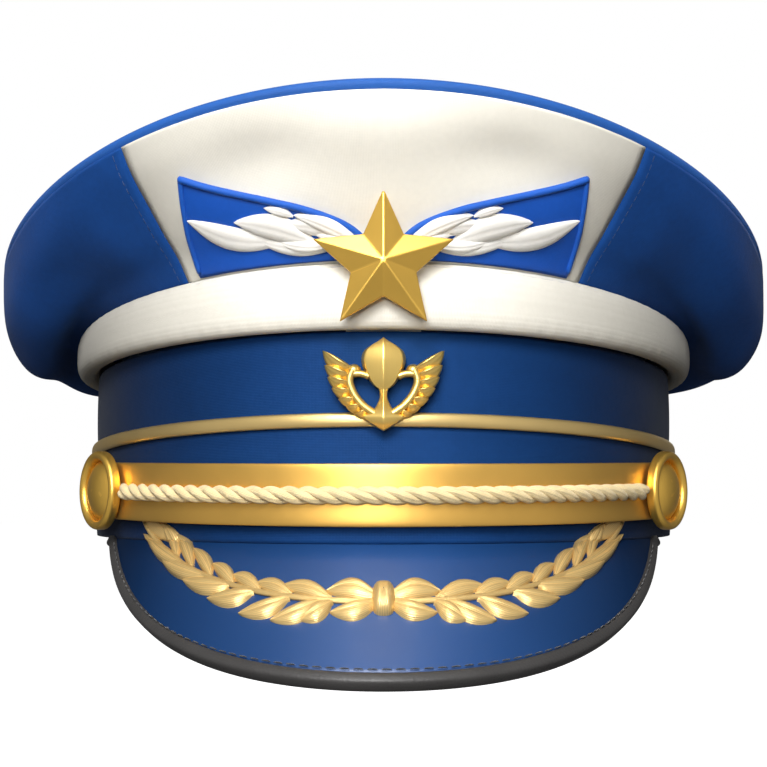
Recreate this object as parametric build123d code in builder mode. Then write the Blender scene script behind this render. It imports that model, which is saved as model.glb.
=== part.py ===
from build123d import *
import os
from math import asin, atan2, cos, degrees, hypot, radians, sin

# Peaked cap for a 57 cm head.  Millimetres.  +Z up, the visor points to -Y, +X to the right.
# The origin is the centre of the head opening, in the plane of the band's bottom edge.
# Azimuths run round the oval from the front: x = half_width * sin, y = -half_length * cos.

# Head oval and the wall of the band, from the inside out
head_half_width = 81.1
head_half_length = 100.0
sweatband_wall = 1.2
sweatband_height = 33.0
stiffener_inset = 1.6      # from the head oval to the stiffener's inner face
stiffener_wall = 1.2
band_cloth_inset = 3.0     # from the head oval to the cloth's inner face
band_cloth_wall = 1.0
band_offset = band_cloth_inset + band_cloth_wall

# Band, its gold piping and the padded roll above it
band_top_front, band_top_side, band_top_back = 50.2, 44.2, 42.0
piping_front, piping_side, piping_back = 29.2, 22.4, 17.0
piping_height = 3.4
piping_depth = 1.6
roll_top_front, roll_top_side, roll_top_back = 66.4, 54.4, 52.5
roll_depth = 6.3
roll_cover_wall = 1.0
roll_lip = 0.9             # how far the roll's cover reaches inside the band's outer face

# Crown
seat_half_width, seat_half_length = 86.4, 105.4     # oval where the side panels leave the roll
rim_half_width, rim_half_length = 112.7, 124.0
rim_front, rim_back = 105.0, 58.0
rim_sweep = 2.2            # how quickly the rim falls from the front to the back
crown_wall = 1.2
rim_piping_height = 3.0
rim_piping_depth = 2.8
top_wall = 1.2
front_seam = 34.0          # azimuth of the seams beside the front panel
back_seam = 118.0
hoop_inset, hoop_width, hoop_height = 6.0, 1.8, 2.2
stay_width, stay_wall = 18.0, 0.8
lining_inset, lining_wall, lining_drop = 2.2, 0.7, 6.0
lining_bottom = 36.0
shield_half_width, shield_half_length, shield_wall = 42.0, 58.0, 0.4

# Visor
visor_slope = radians(52)  # from the vertical
visor_top = -0.3
visor_depth_x, visor_drop = 75.0, 28.4
visor_reach = 60.0
cover_wall, board_wall, underlay_wall = 1.1, 1.7, 0.8
binding_width = 3.0
binding_proud = 0.7

# Chin strap, its cord and the two side buttons
strap_height = 15.2
strap_clearance, strap_wall = 1.5, 1.7
strap_front, strap_rise = 11.4, 0.028
cord_diameter = 4.3
cord_sink = 0.8            # depth of the channel that the cord lies in
cord_end = 49.0
button_azimuth = 55.4
button_turn = 1.23        # how much more than the band they face the front
button_height = 12.7
button_radius = 10.3
button_rim_width = 2.1
button_back, button_depth = 4.3, 3.0
shank_radius = 1.5
shank_clearance = 0.08
eyelet_wall = 0.7
strap_hole_radius = 3.0

# Badges
star_radius, star_inner_share = 17.2, 0.465
star_height_z, star_back_y = 65.2, -113.4
star_edge, star_relief = 0.9, 3.6
badge_z, badge_back_y = 37.6, -106.4
badge_wall = 1.3
post_radius, nut_radius, nut_height = 1.4, 3.2, 1.6

os.makedirs("parts", exist_ok=True)


def through(front, side, back, half_length):
    """Height along Y that passes the front, side and back heights with one smooth curve."""
    slope = (back - front) / 2
    bow = (front + back) / 2 - side
    return lambda y: side + slope * y / half_length + bow * (y / half_length) ** 2


def shifted(curve, amount):
    return lambda y: curve(y) + amount


band_top = through(band_top_front, band_top_side, band_top_back, 104)
piping_line = through(piping_front, piping_side, piping_back, 105)
roll_top = through(roll_top_front, roll_top_side, roll_top_back, 110)


def rim_line(y):
    share = max(0.0, (1 - y / rim_half_length) / 2)
    return rim_back + (rim_front - rim_back) * share**rim_sweep


def slab(low, high):
    """Everything between two heights that vary along Y only, wider than the cap."""
    stations = [-132 + 24 * i for i in range(12)]
    with BuildPart() as between:
        with BuildSketch(Plane.YZ):
            with BuildLine():
                lower = Spline(*[(y, low(y)) for y in stations])
                upper = Spline(*[(y, high(y)) for y in stations])
                Line(lower @ 0, upper @ 0)
                Line(lower @ 1, upper @ 1)
            make_face()
        extrude(amount=130, both=True)
    return between.part


def oval_ring(inner_offset, wall, low, high, half_width=head_half_width, half_length=head_half_length):
    """Ring round an oval, offset outwards from it, between two heights along Y."""
    with BuildPart() as ring:
        with BuildSketch(Plane.XY.offset(-60)):
            Ellipse(half_width + inner_offset + wall, half_length + inner_offset + wall)
            Ellipse(half_width + inner_offset, half_length + inner_offset, mode=Mode.SUBTRACT)
        extrude(amount=220)
        add(slab(low, high), mode=Mode.INTERSECT)
    return ring.part


def band_point(azimuth, standoff=0.0):
    """Point on the band's outer face, moved out along a button's axis there."""
    a = radians(azimuth)
    width, length = head_half_width + band_offset, head_half_length + band_offset
    nx, ny = sin(a) / width, -button_turn * cos(a) / length
    size = hypot(nx, ny)
    return (width * sin(a) + standoff * nx / size, -length * cos(a) + standoff * ny / size)


def button_axis(azimuth):
    """Outward direction of a side button, which faces the front a little more than the band does."""
    a = radians(azimuth)
    across, along = sin(a) / (head_half_width + band_offset), -cos(a) / (head_half_length + band_offset)
    return Vector(across, button_turn * along, 0).normalized()


# Crown side panels ---------------------------------------------------------------------------
# A section is a row of (share of the overhang, height) points from the roll out to the rim.
# At the front it rises nearly straight, and at the sides and back it sags before it rises.
front_section = [(0, 0), (0.16, 0.19), (0.37, 0.37), (0.60, 0.58), (0.84, 0.80), (1, 1)]
side_section = [(0, 0), (0.29, -0.1), (0.5, -7.0), (0.75, -6.0), (0.955, 1.5), (1, None)]


def smooth(share):
    share = min(1.0, max(0.0, share))
    return share * share * (3 - 2 * share)


def crown_section(azimuth, lift=0.0):
    """Points (distance out, z) of the panel's outer face at an azimuth, moved out by lift."""
    a = radians(azimuth)
    y_seat, y_rim = -seat_half_length * cos(a), -rim_half_length * cos(a)
    overhang = hypot((rim_half_width - seat_half_width) * sin(a), y_rim - y_seat)
    base = roll_top(y_seat) + 0.7
    top = rim_line(y_rim) - rim_piping_height / 2 - 1.6
    frontness = smooth((cos(a) - 0.1) / 0.7)
    points = []
    for (front_out, front_up), (side_out, side_up) in zip(front_section, side_section):
        front_z = base + front_up * (top - base)
        side_z = top if side_up is None else base + side_up
        out = overhang * (frontness * front_out + (1 - frontness) * side_out)
        points.append((out, frontness * front_z + (1 - frontness) * side_z))
    moved = []
    for i, (out, z) in enumerate(points):
        ahead = points[min(i + 1, len(points) - 1)]
        behind = points[max(i - 1, 0)]
        along = hypot(ahead[0] - behind[0], ahead[1] - behind[1])
        rise, run = (ahead[1] - behind[1]) / along, (ahead[0] - behind[0]) / along
        moved.append((out + lift * rise, z - lift * run))
    return moved


def section_plane(azimuth):
    a = radians(azimuth)
    wider, longer = rim_half_width - seat_half_width, rim_half_length - seat_half_length
    out = Vector(wider * sin(a), -longer * cos(a), 0)
    return Plane(
        origin=(seat_half_width * sin(a), -seat_half_length * cos(a), 0),
        x_dir=out,
        z_dir=out.cross(Vector(0, 0, 1)),
    )


def crown_shell(start, end, sections, inner_lift, outer_lift):
    """Skin of the crown's side between two azimuths, lofted through upright sections."""
    with BuildPart() as shell:
        for i in range(sections):
            azimuth = start + (end - start) * i / (sections - 1)
            with BuildSketch(section_plane(azimuth)):
                with BuildLine():
                    inner = Spline(*crown_section(azimuth, inner_lift))
                    outer = Spline(*crown_section(azimuth, outer_lift))
                    Line(inner @ 0, outer @ 0)
                    Line(inner @ 1, outer @ 1)
                make_face()
        loft()
    return shell.part


with BuildPart() as crown_front_panel:
    add(crown_shell(-front_seam, front_seam, 7, -crown_wall, 0))
crown_front_panel.part.label = "crown_front_panel"
export_step(crown_front_panel.part, "parts/crown_front_panel.step")

for side, sign in (("left", -1), ("right", 1)):
    with BuildPart() as crown_side_panel:
        add(crown_shell(sign * front_seam, sign * back_seam, 6, -crown_wall, 0))
    crown_side_panel.part.label = f"crown_{side}_panel"
    export_step(crown_side_panel.part, f"parts/crown_{side}_panel.step")

with BuildPart() as crown_back_panel:
    add(crown_shell(back_seam, 360 - back_seam, 7, -crown_wall, 0))
crown_back_panel.part.label = "crown_back_panel"
export_step(crown_back_panel.part, "parts/crown_back_panel.step")

# Rim of the crown: piping, the top panel inside it, and the hoop that stretches both
rim = dict(half_width=rim_half_width, half_length=rim_half_length)

with BuildPart() as crown_piping:
    half = rim_piping_height / 2
    low, high = shifted(rim_line, -half), shifted(rim_line, half)
    add(oval_ring(-rim_piping_depth, rim_piping_depth, low, high, **rim))
crown_piping.part.label = "crown_piping"
export_step(crown_piping.part, "parts/crown_piping.step")

with BuildPart() as crown_top_panel:
    with BuildSketch():
        Ellipse(rim_half_width - rim_piping_depth - 0.1, rim_half_length - rim_piping_depth - 0.1)
    extrude(amount=160)
    add(slab(shifted(rim_line, 0), shifted(rim_line, top_wall)), mode=Mode.INTERSECT)
crown_top_panel.part.label = "crown_top_panel"
export_step(crown_top_panel.part, "parts/crown_top_panel.step")

with BuildPart() as crown_hoop:
    low, high = shifted(rim_line, -0.3 - hoop_height), shifted(rim_line, -0.3)
    add(oval_ring(-hoop_inset - hoop_width, hoop_width, low, high, **rim))
crown_hoop.part.label = "crown_hoop"
export_step(crown_hoop.part, "parts/crown_hoop.step")

# Front stay: a springy leaf that holds the front of the crown up, with a hole for the star's post
stay_y = -(head_half_length + 0.8)
stay_foot, stay_bend = (stay_y, 45.0), (stay_y, 67.0)
stay_top = (-(rim_half_length - 10.5), rim_front - 8.0)
with BuildPart() as crown_front_stay:
    with BuildSketch(Plane.YZ):
        with BuildLine():
            Polyline(stay_foot, stay_bend, stay_top)
            offset(amount=stay_wall, side=Side.RIGHT)
        make_face()
    extrude(amount=stay_width / 2, both=True)
    with Locations(Plane((0, stay_y, star_height_z), z_dir=(0, -1, 0))):
        Cylinder(post_radius + 0.1, 10, mode=Mode.SUBTRACT)
crown_front_stay.part.label = "crown_front_stay"
export_step(crown_front_stay.part, "parts/crown_front_stay.step")

# Lining: a cloth sideband and a tip that follows the top panel, with a sweat shield under it
for name, middle in (("front", 0), ("right", 90), ("back", 180), ("left", 270)):
    with BuildPart() as lining_panel:
        low, high = lambda y: lining_bottom, shifted(rim_line, -lining_drop - lining_wall - 0.05)
        add(oval_ring(-lining_inset - lining_wall, lining_wall, low, high))
        with BuildSketch(mode=Mode.PRIVATE) as quarter:
            with BuildLine():
                turns = [radians(middle + step) for step in (-45, 0, 45)]
                corners = [(300 * sin(turn), -300 * cos(turn)) for turn in turns]
                Polyline((0, 0), *corners, (0, 0))
            make_face()
        add(extrude(quarter.sketch, amount=160, mode=Mode.PRIVATE), mode=Mode.INTERSECT)
    lining_panel.part.label = f"lining_{name}"
    export_step(lining_panel.part, f"parts/lining_{name}.step")

with BuildPart() as lining_tip:
    with BuildSketch():
        Ellipse(head_half_width - lining_inset, head_half_length - lining_inset)
    extrude(amount=160)
    low, high = shifted(rim_line, -lining_drop - lining_wall), shifted(rim_line, -lining_drop)
    add(slab(low, high), mode=Mode.INTERSECT)
lining_tip.part.label = "lining_tip"
export_step(lining_tip.part, "parts/lining_tip.step")

with BuildPart() as lining_shield:
    with BuildSketch():
        Ellipse(shield_half_width, shield_half_length)
    extrude(amount=160)
    under = -lining_drop - lining_wall - 0.2
    add(slab(shifted(rim_line, under - shield_wall), shifted(rim_line, under)), mode=Mode.INTERSECT)
lining_shield.part.label = "lining_shield"
export_step(lining_shield.part, "parts/lining_shield.step")

# Padded roll: a cloth cover round a foam core, pierced at the front by the star's post
core_gap = 0.1
roll_low, roll_high = shifted(band_top, 0.1), roll_top
core_low, core_high = shifted(roll_low, roll_cover_wall), shifted(roll_high, -roll_cover_wall)
cover_depth = roll_lip + roll_depth
with BuildPart() as roll_cover:
    add(oval_ring(band_offset - roll_lip, cover_depth, roll_low, roll_high))
    hollow_depth = cover_depth - 2 * roll_cover_wall
    hollow_inset = band_offset - roll_lip + roll_cover_wall
    add(oval_ring(hollow_inset, hollow_depth, core_low, core_high), mode=Mode.SUBTRACT)
    with Locations(Plane((0, -100, star_height_z), z_dir=(0, -1, 0))):
        Cylinder(post_radius + 0.1, 60, mode=Mode.SUBTRACT)
roll_cover.part.label = "roll_cover"
export_step(roll_cover.part, "parts/roll_cover.step")

with BuildPart() as roll_core:
    start = band_offset - roll_lip + roll_cover_wall + core_gap
    low, high = shifted(core_low, core_gap), shifted(core_high, -core_gap)
    add(oval_ring(start, cover_depth - 2 * roll_cover_wall - 2 * core_gap, low, high))
    with Locations(Plane((0, -100, star_height_z), z_dir=(0, -1, 0))):
        Cylinder(post_radius + 0.1, 60, mode=Mode.SUBTRACT)
roll_core.part.label = "roll_core"
export_step(roll_core.part, "parts/roll_core.step")

# Band --------------------------------------------------------------------------------------
badge_posts_x = (-7.0, 7.0)
badge_posts_z = 40.5
eyelet_radius = shank_radius + shank_clearance + eyelet_wall


def post_holes(radius):
    """Bores through the band's wall for the winged badge's posts and the two button shanks."""
    with BuildPart() as bores:
        with Locations(*[Plane((x, -100, badge_posts_z), z_dir=(0, -1, 0)) for x in badge_posts_x]):
            Cylinder(post_radius + 0.1, 40)
        for azimuth in (-button_azimuth, button_azimuth):
            x, y = band_point(azimuth)
            with Locations(Plane((x, y, button_height), z_dir=button_axis(azimuth))):
                Cylinder(radius, 16)
    return bores.part


with BuildPart() as band_cloth:
    add(oval_ring(band_cloth_inset, band_cloth_wall, lambda y: 0, band_top))
    add(post_holes(eyelet_radius + 0.05), mode=Mode.SUBTRACT)
band_cloth.part.label = "band_cloth"
export_step(band_cloth.part, "parts/band_cloth.step")

with BuildPart() as band_stiffener:
    add(oval_ring(stiffener_inset, stiffener_wall, lambda y: 0.8, shifted(band_top, -1)))
    add(post_holes(eyelet_radius + 0.05), mode=Mode.SUBTRACT)
band_stiffener.part.label = "band_stiffener"
export_step(band_stiffener.part, "parts/band_stiffener.step")

with BuildPart() as sweatband:
    add(oval_ring(0, sweatband_wall, lambda y: 0.3, lambda y: sweatband_height))
    for azimuth in (-button_azimuth, button_azimuth):
        x, y = band_point(azimuth)
        with Locations(Plane((x, y, button_height), z_dir=button_axis(azimuth))):
            Cylinder(eyelet_radius + 1.7, 16, mode=Mode.SUBTRACT)
sweatband.part.label = "sweatband"
export_step(sweatband.part, "parts/sweatband.step")

# Small flat bow that closes the sweatband's seam at the back
bow_y = head_half_length - 0.65
with BuildPart() as sweatband_bow:
    with BuildSketch(Plane((0, bow_y, 9), x_dir=(1, 0, 0), z_dir=(0, -1, 0))):
        for reach in (-1, 1):
            with BuildLine():
                start = (0.6 * reach, 0)
                ThreePointArc(start, (4.5 * reach, 3.2), (8 * reach, 1.2))
                ThreePointArc((8 * reach, 1.2), (8.4 * reach, -0.6), (7.6 * reach, -2.2))
                ThreePointArc((7.6 * reach, -2.2), (4 * reach, -2.4), start)
            make_face()
        RectangleRounded(3, 3.4, 0.8)
    extrude(amount=1.1)
sweatband_bow.part.label = "sweatband_bow"
export_step(sweatband_bow.part, "parts/sweatband_bow.step")

with BuildPart() as band_piping:
    low, high = shifted(piping_line, -piping_height / 2), shifted(piping_line, piping_height / 2)
    add(oval_ring(band_offset + 0.02, piping_depth, low, high))
band_piping.part.label = "band_piping"
export_step(band_piping.part, "parts/band_piping.step")

with BuildPart() as band_eyelets:
    for azimuth in (-button_azimuth, button_azimuth):
        x, y = band_point(azimuth, -band_cloth_wall - stiffener_wall - 0.2)
        with BuildSketch(Plane((x, y, button_height), z_dir=button_axis(azimuth))):
            Circle(eyelet_radius)
            Circle(shank_radius + shank_clearance, mode=Mode.SUBTRACT)
        extrude(amount=band_cloth_wall + stiffener_wall + 0.9)
band_eyelets.part.label = "band_eyelets"
export_step(band_eyelets.part, "parts/band_eyelets.step")

# Visor --------------------------------------------------------------------------------------
# A bent sheet: the band's oval swept forwards and down, cut to a rounded outline seen from the
# front.  Cover, board and underlay lie on each other inside a folded edge binding.
visor_direction = Vector(0, -sin(visor_slope), -cos(visor_slope))


def visor_layer(outer_offset, wall):
    with BuildPart() as layer:
        with BuildSketch(Plane.XY.offset(visor_top)):
            outer = band_offset + outer_offset
            Ellipse(head_half_width + outer, head_half_length + outer)
            Ellipse(head_half_width + outer - wall, head_half_length + outer - wall, mode=Mode.SUBTRACT)
            with Locations((0, 100)):
                Rectangle(400, 200 + 2 * 40, mode=Mode.SUBTRACT)
        extrude(amount=visor_reach, dir=visor_direction)
    return layer.part


def visor_outline(inset):
    """Rounded outline of the visor from the front, as a block that runs back through it."""
    x, drop = visor_depth_x - inset, visor_drop - inset
    with BuildPart() as block:
        with BuildSketch(Plane.XZ):
            with BuildLine():
                Bezier((x, 2), (0.9 * x, -0.585 * drop), (0.7 * x, -drop), (0, -drop))
                Bezier((0, -drop), (-0.7 * x, -drop), (-0.9 * x, -0.585 * drop), (-x, 2))
                Line((-x, 2), (x, 2))
            make_face()
        extrude(amount=170)
    return block.part


with BuildPart() as visor_cover:
    add(visor_layer(0, cover_wall))
    add(visor_outline(binding_width), mode=Mode.INTERSECT)
visor_cover.part.label = "visor_cover"
export_step(visor_cover.part, "parts/visor_cover.step")

with BuildPart() as visor_board:
    add(visor_layer(-cover_wall - 0.05, board_wall))
    add(visor_outline(binding_width), mode=Mode.INTERSECT)
visor_board.part.label = "visor_board"
export_step(visor_board.part, "parts/visor_board.step")

with BuildPart() as visor_underlay:
    add(visor_layer(-cover_wall - board_wall - 0.1, underlay_wall))
    add(visor_outline(binding_width), mode=Mode.INTERSECT)
visor_underlay.part.label = "visor_underlay"
export_step(visor_underlay.part, "parts/visor_underlay.step")

visor_wall = cover_wall + board_wall + underlay_wall + 0.1
with BuildPart() as visor_binding:
    add(visor_layer(binding_proud, visor_wall + 2 * binding_proud))
    add(visor_outline(0), mode=Mode.INTERSECT)
    add(visor_outline(binding_width - 0.1), mode=Mode.SUBTRACT)
visor_binding.part.label = "visor_binding"
export_step(visor_binding.part, "parts/visor_binding.step")

# Gold laurel on the visor: leaves on both sides of a curved stem, a ring and four bow lobes.
# Everything is drawn from the front and lies on the visor's bent face.
stem_half_width, stem_low, stem_centre, stem_power = 62.0, -12.4, 9.6, 2.5
stem_start, stem_pitch, leaf_pairs = 13.0, 6.4, 7
leaf_length, leaf_width, leaf_spread = 10.0, 4.0, 25.0


def stem_z(x):
    return stem_centre - (stem_centre - stem_low) * (1 - (abs(x) / stem_half_width) ** stem_power) ** 0.5


def leaf(base, tip, width):
    """Flat leaf with two pointed ends, to be added to a sketch."""
    base, tip = Vector(*base), Vector(*tip)
    middle, along = (base + tip) / 2, (tip - base).normalized()
    across = Vector(-along.Y, along.X) * width / 2
    with BuildSketch() as shape:
        with BuildLine():
            ThreePointArc(base, middle + across, tip)
            ThreePointArc(tip, middle - across, base)
        make_face()
    return shape.sketch_local


def relief(outline, inner, outer):
    """Front-view outline, cut out of a skin that stands off the visor's face."""
    with BuildPart() as cut:
        add(visor_layer(outer, outer - inner))
        add(extrude(outline, amount=170, dir=(0, -1, 0), mode=Mode.PRIVATE), mode=Mode.INTERSECT)
    return cut.part


for side, sign in (("left", -1), ("right", 1)):
    with BuildSketch(Plane.XZ) as laurel_outline:
        for i in range(leaf_pairs):
            x = stem_start + stem_pitch * i
            rise = degrees(atan2(stem_z(x + 0.5) - stem_z(x - 0.5), 1))
            for spread in (-leaf_spread, leaf_spread):
                turn = radians(rise + spread)
                tip = (sign * (x + leaf_length * cos(turn)), stem_z(x) + leaf_length * sin(turn))
                add(leaf((sign * x, stem_z(x)), tip, leaf_width))
    with BuildPart() as laurel:
        add(relief(laurel_outline.sketch, 0.1, 2.0))
    laurel.part.label = f"laurel_{side}"
    export_step(laurel.part, f"parts/laurel_{side}.step")

ring_z = -11.9
with BuildSketch(Plane.XZ) as bow_outline:
    for sign in (-1, 1):
        add(leaf((sign * 2.6, ring_z + 0.3), (sign * 12.4, ring_z + 3.0), 4.2))
        add(leaf((sign * 2.6, ring_z - 0.3), (sign * 11.4, ring_z - 3.2), 3.6))
with BuildPart() as laurel_bow:
    add(relief(bow_outline.sketch, 2.1, 3.6))
laurel_bow.part.label = "laurel_bow"
export_step(laurel_bow.part, "parts/laurel_bow.step")

with BuildSketch(Plane.XZ) as ring_outline:
    with Locations((0, ring_z)):
        RectangleRounded(4.7, 5.6, 1.2)
with BuildPart() as laurel_ring:
    add(relief(ring_outline.sketch, 0.1, 5.0))
laurel_ring.part.label = "laurel_ring"
export_step(laurel_ring.part, "parts/laurel_ring.step")

# Flashes and leaf sprays on the crown's front --------------------------------------------------


def crown_relief(outline, inner_lift, outer_lift):
    """Front-view outline, cut out of a skin that stands off the crown's front."""
    with BuildPart() as cut:
        add(crown_shell(-front_seam + 0.5, front_seam - 0.5, 7, inner_lift, outer_lift))
        add(extrude(outline, amount=170, dir=(0, -1, 0), mode=Mode.PRIVATE), mode=Mode.INTERSECT)
    return cut.part


for side, sign in (("left", -1), ("right", 1)):
    with BuildSketch(Plane.XZ) as flash_outline:
        with BuildLine():
            top_edge = Spline(
                (sign * 3.5, 70.5), (sign * 10.5, 75.8), (sign * 25, 80.4), (sign * 48.7, 87.0)
            )
            Polyline(top_edge @ 1, (sign * 47.6, 75), (sign * 45, 58), (sign * 3.5, 58), top_edge @ 0)
        make_face()
    with BuildPart() as flash_insert:
        add(crown_relief(flash_outline.sketch, 0.1, 0.8))
    flash_insert.part.label = f"{side}_flash_insert"
    export_step(flash_insert.part, f"parts/{side}_flash_insert.step")

    with BuildSketch(Plane.XZ) as spray_outline:
        add(leaf((sign * 22, 72.0), (sign * 46.5, 77.2), 5.6))
        add(leaf((sign * 15, 72.5), (sign * 35, 76.7), 5.4))
        add(leaf((sign * 15, 75.0), (sign * 28, 78.9), 3.0))
        add(leaf((sign * 6, 71.0), (sign * 21, 78.0), 4.6))
        add(leaf((sign * 8, 69.8), (sign * 23, 71.6), 2.8))
    with BuildPart() as leaf_spray:
        add(crown_relief(spray_outline.sketch, 0.9, 2.3))
    leaf_spray.part.label = f"{side}_leaf_spray"
    export_step(leaf_spray.part, f"parts/{side}_leaf_spray.step")

# Chin strap ------------------------------------------------------------------------------------
# It lies round the front of the band, between the side buttons, and swings on their shanks.


def strap_mid(y):
    return strap_front + strap_rise * (y + head_half_length + 7)


strap_bottom, strap_top = shifted(strap_mid, -strap_height / 2), shifted(strap_mid, strap_height / 2)
strap_offset = band_offset + strap_clearance
cord_offset = strap_offset + strap_wall - cord_sink + cord_diameter / 2


def cord_tube(radius, end):
    """Tube along the middle of the strap, between two azimuths."""
    lie = Plane((0, 0, strap_mid(0)), x_dir=(1, 0, 0), z_dir=(0, -strap_rise, 1))
    with BuildPart() as tube:
        with BuildLine(lie):
            half_width, half_length = head_half_width + cord_offset, head_half_length + cord_offset
            path = EllipticalCenterArc((0, 0), half_width, half_length, -90 - end, arc_size=2 * end)
        with BuildSketch(Plane(path @ 0, z_dir=path % 0)):
            Circle(radius)
        sweep()
    return tube.part


button_x, button_y = band_point(button_azimuth)
button_out = button_axis(button_azimuth)
fan_y = button_y - button_x * button_out.Y / button_out.X
with BuildPart() as front_fan:
    with BuildSketch():
        reach = 300
        corner = (reach * button_out.X, fan_y + reach * button_out.Y)
        Polygon((0, fan_y), corner, (-corner[0], corner[1]), align=None)
    extrude(amount=40)


def strap_band():
    return oval_ring(strap_offset, strap_wall, strap_bottom, strap_top)


def strap_post(azimuth, radius):
    """Short round bar through the strap at a side button."""
    x, y = band_point(azimuth, strap_clearance + strap_wall / 2)
    with BuildPart() as bar:
        with Locations(Plane((x, y, button_height), z_dir=button_axis(azimuth))):
            Cylinder(radius, 8)
    return bar.part


with BuildPart() as chin_strap:
    add(strap_band())
    add(front_fan.part, mode=Mode.INTERSECT)
    for azimuth in (-button_azimuth, button_azimuth):
        add(strap_band() & strap_post(azimuth, strap_height / 2 - 0.1))
        add(strap_post(azimuth, strap_hole_radius), mode=Mode.SUBTRACT)
    add(cord_tube(cord_diameter / 2 + 0.08, cord_end + 0.8), mode=Mode.SUBTRACT)
chin_strap.part.label = "chin_strap"
export_step(chin_strap.part, "parts/chin_strap.step")

with BuildPart() as chin_cord:
    add(cord_tube(cord_diameter / 2, cord_end))
chin_cord.part.label = "chin_cord"
export_step(chin_cord.part, "parts/chin_cord.step")

with BuildPart() as strap_eyelets:
    for azimuth in (-button_azimuth, button_azimuth):
        x, y = band_point(azimuth, strap_clearance - 0.2)
        with BuildSketch(Plane((x, y, button_height), z_dir=button_axis(azimuth))):
            Circle(strap_hole_radius - 0.05)
            Circle(shank_radius + 0.7, mode=Mode.SUBTRACT)
        extrude(amount=strap_wall + 0.4)
strap_eyelets.part.label = "strap_eyelets"
export_step(strap_eyelets.part, "parts/strap_eyelets.step")

# Side buttons: a rimmed cup, a domed face, a shank through the band, and a washer that holds it
washer_start = -(band_cloth_wall + stiffener_wall + 0.2 + 0.35)
washer_wall, washer_radius = 0.5, 3.4
dome_start, dome_radius = button_back + 0.95, button_radius - button_rim_width - 0.05
dome_edge, dome_rise = 0.5, 1.9
ball_radius = (dome_radius**2 + dome_rise**2) / (2 * dome_rise)
half_angle = asin(dome_radius / ball_radius) / 2
ball_centre = dome_start + dome_edge + dome_rise - ball_radius
dome_shoulder = (ball_radius * sin(half_angle), ball_centre + ball_radius * cos(half_angle))
for side, sign in (("left", -1), ("right", 1)):
    x, y = band_point(sign * button_azimuth)
    seat = Plane((x, y, button_height), z_dir=button_axis(sign * button_azimuth))

    with BuildPart() as button_bezel:
        with BuildSketch(seat.offset(button_back)):
            Circle(button_radius)
        extrude(amount=button_depth)
        circles = button_bezel.edges().filter_by(GeomType.CIRCLE)
        fillet(circles.group_by(Axis(seat.origin, seat.z_dir))[-1], 1.0)
        with BuildSketch(seat.offset(button_back + 0.9)):
            Circle(button_radius - button_rim_width)
        extrude(amount=button_depth, mode=Mode.SUBTRACT)
    button_bezel.part.label = f"{side}_button_bezel"
    export_step(button_bezel.part, f"parts/{side}_button_bezel.step")

    with BuildPart() as button_dome:
        with BuildSketch(Plane(seat.origin, x_dir=(0, 0, 1), z_dir=Vector(0, 0, 1).cross(seat.z_dir))):
            with BuildLine():
                foot = Line((0, dome_start), (dome_radius, dome_start))
                edge = Line(foot @ 1, (dome_radius, dome_start + dome_edge))
                swell = ThreePointArc(edge @ 1, dome_shoulder, (0, dome_start + dome_edge + dome_rise))
                Line(swell @ 1, foot @ 0)
            make_face()
        revolve(axis=Axis(seat.origin, seat.z_dir))
    button_dome.part.label = f"{side}_button_dome"
    export_step(button_dome.part, f"parts/{side}_button_dome.step")

    shank_start = washer_start - washer_wall - 0.5
    with BuildPart() as button_shank:
        with BuildSketch(seat.offset(shank_start)):
            Circle(shank_radius)
        extrude(amount=button_back - shank_start)
    button_shank.part.label = f"{side}_button_shank"
    export_step(button_shank.part, f"parts/{side}_button_shank.step")

    with BuildPart() as button_washer:
        with BuildSketch(seat.offset(washer_start)):
            Circle(washer_radius)
            Circle(shank_radius, mode=Mode.SUBTRACT)
        extrude(amount=-washer_wall)
    button_washer.part.label = f"{side}_button_washer"
    export_step(button_washer.part, f"parts/{side}_button_washer.step")

# Star ------------------------------------------------------------------------------------------
star_plane = Plane((0, star_back_y, star_height_z), x_dir=(1, 0, 0), z_dir=(0, -1, 0))
star_points = []
for i in range(10):
    turn = radians(90 + 36 * i)
    reach = star_radius if i % 2 == 0 else star_radius * star_inner_share
    star_points.append((reach * cos(turn), reach * sin(turn)))
with BuildPart() as star_badge:
    with BuildSketch(star_plane):
        Polygon(*star_points, align=None)
    extrude(amount=star_edge)
    with BuildSketch(star_plane.offset(star_edge)) as star_face:
        Polygon(*star_points, align=None)
    star_tip = Vertex(0, star_back_y - star_edge - star_relief, star_height_z)
    loft(sections=[star_face.sketch.faces()[0], star_tip])
star_badge.part.label = "star_badge"
export_step(star_badge.part, "parts/star_badge.step")

star_nut_y = stay_y + stay_wall + 0.05
with BuildPart() as star_post:
    with BuildSketch(star_plane):
        Circle(post_radius)
    extrude(amount=star_back_y - star_nut_y - nut_height + 0.1)
star_post.part.label = "star_post"
export_step(star_post.part, "parts/star_post.step")

with BuildPart() as star_nut:
    with BuildSketch(Plane((0, star_nut_y, star_height_z), z_dir=(0, 1, 0))):
        RegularPolygon(nut_radius, 6)
        Circle(post_radius, mode=Mode.SUBTRACT)
    extrude(amount=nut_height - 0.2)
star_nut.part.label = "star_nut"
export_step(star_nut.part, "parts/star_nut.step")

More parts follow.
